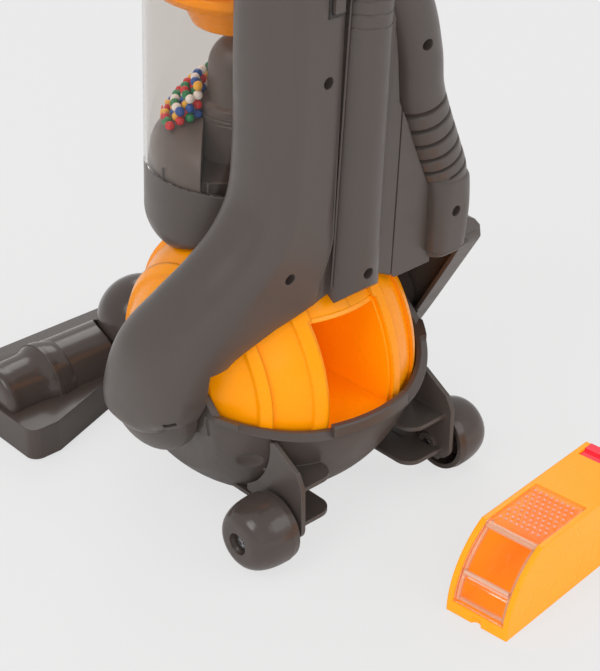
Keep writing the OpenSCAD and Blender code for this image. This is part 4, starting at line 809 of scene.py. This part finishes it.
def buildRearCover(settings):
    cover = copyNode("rearCover", "rear_cover")
    half, face, line = settings["seamHalf"], settings["face"], settings["seam"]
    rear = face + settings["clear"]
    outline = [(x - half, z) for x, z in line] + [(x + half, z) for x, z in reversed(line)]
    carve(cover, [prism("seamCut", outline, face - settings["seamDepth"], rear, uprightFrame),
                  prism("gapCut", settings["gap"], face - settings["gapDepth"], rear, uprightFrame)])
    finishPiece(cover, "grey_plastic", "upright", "rear_cover", angle=30)


buildRearCover(coverSettings)

# Foot of the strip between the duct and the sleeve
stripSettings = {"low": (9.0, 46.0, 50.0), "high": (23.0, 54.4, 84.0), "archRadius": 81.4, "archSlope": 43.5}


def buildStripFoot(settings):
    foot = boxPiece("stripFoot", settings["low"], settings["high"], uprightFrame)
    carve(foot, [ball("archCut", settings["archRadius"], uprightFrame), slopeCutter(settings["archSlope"])])
    finishPiece(foot, "grey_plastic", "upright", angle=30)


buildStripFoot(stripSettings)

# Flat-backed cuff that joins the hose to the right arm: rows hold z, the middle x, half widths and squareness
cuffSettings = {"rows": [(101, -68.8, 13.2, 13.2, 2.2), (98.5, -69.4, 14.4, 14.5, 2.4), (95, -69.8, 14.4, 14.7, 2.7),
                         (80, -70.4, 13.8, 14.9, 3.4), (66, -70.2, 13.2, 14.9, 3.6), (58.6, -70.0, 12.8, 14.8, 3.6)],
                "middleY": 47.0, "steps": 40, "sides": 64, "screw": (-69, 50, 81.5), "screwRadius": 3.0}


def buildCuff(settings):
    rows = settings["rows"]
    turns = evenSteps(0, tau, settings["sides"])[:-1]
    rings = []
    for s in evenSteps(0, len(rows) - 1, settings["steps"]):
        z, x, halfX, halfY, square = rowAt(rows, s)
        rings.append([(x + halfX * bulge(cos(turn), 2 / square),
                       settings["middleY"] + halfY * bulge(sin(turn), 2 / square), z) for turn in turns])
    cuff = loft("hoseCuff", rings, uprightFrame)
    carve(cuff, [screwHole(settings["screw"], settings["screwRadius"])])
    finishPiece(cuff, "grey_plastic", "upright", angle=35)


buildCuff(cuffSettings)

# Rear edge of the right arm: a round lip under the cuff and a flat flange, whose rows hold y, z and the two x
armSettings = {"lip": [(-84.0, 57.0, 56.8), (-78.0, 57.2, 56.5), (-72.0, 57.2, 56.2), (-65.0, 56.2, 55.8),
                       (-61.0, 50.4, 55.2)],
               "lipRadius": 2.5, "lipSteps": 24, "lipSides": 24, "flangeDepth": 2.0,
               "flange": [(58.2, 61.0, -82.0, -90.5), (58.4, 59.0, -80.8, -93.0), (58.4, 56.5, -80.2, -94.2),
                          (57.4, 54.0, -79.8, -94.4), (55.2, 49.7, -80.0, -94.2), (52.0, 43.4, -80.8, -93.4),
                          (44.0, 27.6, -81.0, -92.4), (30.2, 0.8, -81.4, -91.6)]}


def buildArmEdge(settings):
    line = settings["lip"]
    places = [uprightFrame @ Vector(rowAt(line, s)) for s in evenSteps(0, len(line) - 1, settings["lipSteps"])]
    layLine("armLip", places, settings["lipRadius"], settings["lipSides"])
    deep = settings["flangeDepth"]
    rings = [[(inner, y, z), (outer, y, z), (outer, y - deep, z + deep / 2), (inner, y - deep, z + deep / 2)]
             for y, z, inner, outer in settings["flange"]]
    finishPiece(loft("armFlange", rings, uprightFrame), "grey_plastic", "upright", angle=40)


buildArmEdge(armSettings)
print("rear covers made")

# Cradle with a sloping rim and a shallow hollow in each side of the bowl
cradleSettings = {"rimTop": 65.0, "rimRise": 12.0, "earOut": 73.0,
                  "slope": [(79.6, 0.3), (85.4, -5.2), (85.4, 9), (79.6, 9)], "arc": 52.0, "steps": 72,
                  "hollowAt": (58.0, 50.6, 47.0), "hollowNormal": (0.72, 0.6, -0.33), "hollowAlong": (-0.6, 0.75, 0.2),
                  "hollowSize": (9.0, 6.5, 2.6), "hollowLift": 0.4, "hollowSteps": 24,
                  "earWedge": [((69.5, 34.3), (74.5, 34.3), (74.5, 12.0), 50.0),
                               ((72.9, 34.3), (74.5, 34.3), (74.5, 33.0), 69.5)],
                  "lip": [(80.2, 62.0), (84.6, 62.0), (84.6, 67.6), (83.8, 68.4), (80.8, 68.4), (80.2, 67.8)],
                  "lipFrom": 71, "lipTo": 106,
                  "webs": [((43.5, 38.6), (51.9, 28.0), (51.9, 58.6), (43.5, 58.6), 17.9, 20.1),
                           ((43.5, 58.0), (51.4, 52.4), (51.4, 58.6), (43.5, 58.6), 39.9, 42.1)]}


def buildCradle(settings):
    cradle = copyNode("cradleShell", "cradle")
    cutters = []
    for middle in (90, 270):
        rings = []
        for turn in evenSteps(middle - settings["arc"], middle + settings["arc"], settings["steps"]):
            angle = radians(turn)
            ring = []
            for r, rise in settings["slope"]:
                x = r * cos(angle)
                top = settings["rimTop"] + settings["rimRise"] * min(abs(x) / settings["earOut"], 1) ** 3
                ring.append((x, r * sin(angle), top + rise))
            rings.append(ring)
        cutters.append(loft("rimCut", rings, millimetres))
    for side in bothSides.values():
        at, normal, along = (Vector((v[0] * side, v[1], v[2])) for v in (
            settings["hollowAt"], settings["hollowNormal"], settings["hollowAlong"]))
        place = millimetres @ axesFrame(at + normal.normalized() * settings["hollowLift"], along, normal)
        place = place @ Matrix.Diagonal((*settings["hollowSize"], 1))
        cutters.append(ball("hollowCut", 1.0, place, settings["hollowSteps"]))
        rings = [[(x * side, y, z) for x, y in outline] for *outline, z in settings["earWedge"]]
        cutters.append(loft("earCut", rings, millimetres))
    carve(cradle, cutters)
    finishPiece(cradle, "grey_plastic", "base", "cradle", angle=30)
    turns = [radians(angle) for angle in range(settings["lipFrom"], settings["lipTo"] + 1)]
    rings = [[(r * cos(turn), r * sin(turn), z) for r, z in settings["lip"]] for turn in turns]
    finishPiece(loft("rimLip", rings, millimetres), "grey_plastic", "base", angle=30)
    for number, (*outline, low, high) in enumerate(settings["webs"]):
        for label, side in bothSides.items():
            rings = [[(x * side, y, z) for x, y in outline] for z in (low, high)]
            web = loft("legWeb%d%s" % (number, label), rings, millimetres)
            finishPiece(web, "grey_plastic", "base", angle=30)


buildCradle(cradleSettings)
print("cradle made")

# Floor head: rounded rear corners, and soft shoulders turned round the cross tube
headSettings = {"corner": (104.0, -80.0), "cornerRadius": 7.0, "cornerSteps": 12, "clear": 2.0, "cutLow": -5.0,
                "cutHigh": 40.0, "tubeY": -122.0, "tubeZ": 20.6, "sides": 72,
                "shoulder": [(57, 20.0), (58, 21.05), (62, 21.2), (65, 21.9), (68, 22.0), (71, 21.3), (73.5, 20.0),
                             (76, 19.2), (80, 18.9), (90, 18.7), (93.5, 18.8), (95.5, 19.4), (98, 19.5), (99.8, 18.8),
                             (100.9, 17.2), (101.2, 14.0)]}


def buildHead(settings):
    head = copyNode("headShell", "head_cover")
    x, y = settings["corner"]
    radius, clear = settings["cornerRadius"], settings["clear"]
    arc = [(x - radius + radius * cos(turn), y - radius + radius * sin(turn))
           for turn in evenSteps(0, pi / 2, settings["cornerSteps"])]
    outline = [(x + clear, y + clear), (x + clear, y - radius), *arc, (x - radius, y + clear)]
    lying = millimetres @ Matrix(((1, 0, 0, 0), (0, 0, 1, 0), (0, 1, 0, 0), (0, 0, 0, 1)))
    low, high = settings["cutLow"], settings["cutHigh"]
    carve(head, [prism("cornerCut", [(px * side, py) for px, py in outline], low, high, lying)
                 for side in bothSides.values()])
    finishPiece(head, "dark_plastic", "head", "head_cover", angle=18)
    turns = evenSteps(0, pi, settings["sides"])
    for label, side in bothSides.items():
        rings = [[(px * side, settings["tubeY"] + r * cos(turn), settings["tubeZ"] + r * sin(turn))
                  for turn in turns] for px, r in settings["shoulder"]]
        shoulder = loft("headShoulder0" + label, rings, millimetres)
        finishPiece(shoulder, "dark_plastic", "head", angle=50)


buildHead(headSettings)
print("floor head made")

# Sunk screws of the covers, all facing the rear, coloured near-black as painted shade inside the screw holes
screwSettings = {"places": [(23, 46, 176), (40.5, 46, 79), (-1.6, 59, 72), (-38, 52, 180), (-69, 52, 82)],
                 "headRadius": 2.6, "headHeight": 1.6, "dome": [(1.0, 0.6), (0.8, 0.9), (0.4, 1.0)],
                 "crossLength": 1.9, "crossWidth": 0.45, "crossFloor": 0.64, "crossTop": 3.2, "shank": 1.2,
                 "shankLength": 3.0}


def buildPlaceTree():
    tree, given, result = newTree("setAtPoints", [("Piece", "NodeSocketObject"), ("Finish", "NodeSocketMaterial")])
    piece = addNode(tree, "GeometryNodeObjectInfo", Object=given["Piece"])
    many = addNode(tree, "GeometryNodeInstanceOnPoints", Points=given["Geometry"], Instance=piece.outputs["Geometry"])
    return endTree(tree, many, given, result)


placeTree = buildPlaceTree()


def buildScrews(settings):
    radius, height = settings["headRadius"], settings["headHeight"]
    profile = [(settings["shank"], -settings["shankLength"]), (settings["shank"], 0), (radius, 0)]
    profile += [(radius * r, height * z) for r, z in settings["dome"]]
    screw = lathe("screwShape", profile, turnSides["small"], alongY)
    long, wide = settings["crossLength"], settings["crossWidth"]
    carve(screw, [boxPiece("crossCut", (-x, settings["crossFloor"], -z), (x, settings["crossTop"], z))
                  for x, z in ((long, wide), (wide, long))])
    item = meshObject("coverScrews", settings["places"])
    runTree(item, placeTree, {"Piece": screw, "Finish": materials["screw_hole_shade"]})
    item.data.transform(uprightFrame)
    finishPiece(item, "screw_steel", "upright", "cover_screws", finish="screw_hole_shade")
    bpy.data.objects.remove(screw)


buildScrews(screwSettings)
print("screws set")

# Inside of the bin: the ledge in front of the column and the ticks at the foot of the clear wall
binSettings = {"turn": -42.0, "ledgeLow": (-22.0, 10.0, 85.0), "ledgeHigh": (15.8, 38.6, 101.2),
               "column": [(18.5, 60), (18.5, 140)],
               "tickAngles": (-3.4, 32.0), "tickRadius": 45.3, "tickSize": (0.35, 0.5, 2.8), "tickMiddle": 100.6}


def buildBinInside(settings):
    turned = binFrame @ Matrix.Rotation(radians(settings["turn"]), 4, "Z")
    ledge = boxPiece("binLedge", settings["ledgeLow"], settings["ledgeHigh"], turned)
    carve(ledge, [lathe("columnCut", settings["column"], turnSides["middle"], binFrame)])
    finishPiece(ledge, "grey_plastic", "upright", angle=30)
    half = settings["tickSize"]
    for number, angle in enumerate(settings["tickAngles"]):
        place = binFrame @ Matrix.Rotation(radians(angle), 4, "Z") @ Matrix.Translation(
            (settings["tickRadius"], 0, settings["tickMiddle"]))
        finishPiece(boxPiece("binTick%d" % number, [-c for c in half], half, place), "grey_plastic", "upright")


buildBinInside(binSettings)
# The mound and column take the lighter grey, painted haze of the clear wall in front of them
for label in ("mound", "column"):
    finishPiece(copyNode(label + "Shell", "bin_" + label), "grey_plastic", "upright", "bin_" + label, finish="bin_grey_painted_haze")
print("bin inside made")

# Clear frame of the drawer's window with the bar under the lid's front; its sides and bars are painted pale with a
# faint glow as highlight where the clear edges catch light
windowSettings = {"noseRadius": 48.0, "inset": 2.3, "depth": 1.7, "low": 6.8, "high": 39.6, "steps": 24,
                  "sides": [(3.6, 5.2), (31.0, 32.6)],
                  "bars": {"Bar": ((23.4, 3.5, 38.6), (26.6, 32.7, 40.3)),
                           "Middle": ((5.8, 4.8, 21.0), (7.4, 31.4, 23.0)),
                           "Sill": ((3.4, 3.8, 6.8), (5.0, 32.4, 8.2))}}


def buildWindow(settings):
    def noseAt(z, inset):
        return settings["noseRadius"] - sqrt((settings["noseRadius"] - inset) ** 2 - z * z)

    for number, (low, high) in enumerate(settings["sides"]):
        rings = []
        for z in evenSteps(settings["low"], settings["high"], settings["steps"]):
            near, far = noseAt(z, settings["inset"]), noseAt(z, settings["inset"] + settings["depth"])
            rings.append([(near, low, z), (near, high, z), (far, high, z), (far, low, z)])
        side = loft("windowSide%d" % number, rings, drawerFrame)
        finishPiece(side, "clear_plastic", "dust_cover", finish="pale_painted_highlight")
    finishPiece(copyNode("windowShell", "drawer_cover"), "clear_plastic", "dust_cover", "drawer_cover",
                finish="clear_cover")
    for label, (low, high) in settings["bars"].items():
        bar = boxPiece("window" + label, low, high, drawerFrame)
        finishPiece(bar, "clear_plastic", "dust_cover", finish="pale_painted_highlight")


buildWindow(windowSettings)

# Rims of the air holes in the drawer's lid, as thin pale rings of painted highlight with a faint glow
lidSettings = {"start": (31.762, 6.0, 41.9), "length": 29.0, "width": 24.2, "columns": 9, "rows": 8, "rimRadius": 0.8,
               "rimHeight": 0.12}


def buildLidHoles(settings):
    x, y, z = settings["start"]
    columns, rows = settings["columns"], settings["rows"]
    places = [(x + settings["length"] * i / (columns - 1), y + settings["width"] * (j + i % 2 / 2) / (rows - 0.5), z)
              for i in range(columns) for j in range(rows)]
    radius, height = settings["rimRadius"], settings["rimHeight"]
    rim = lathe("rimShape", [(radius, -height), (radius, height)], turnSides["tiny"])
    item = meshObject("lidHoles", places)
    runTree(item, placeTree, {"Piece": rim, "Finish": materials["pale_painted_highlight"]})
    item.data.transform(drawerFrame)
    finishPiece(fixNormals(item), "clear_plastic", "dust_cover", finish="pale_painted_highlight")
    bpy.data.objects.remove(rim)


buildLidHoles(lidSettings)
print("drawer window made")
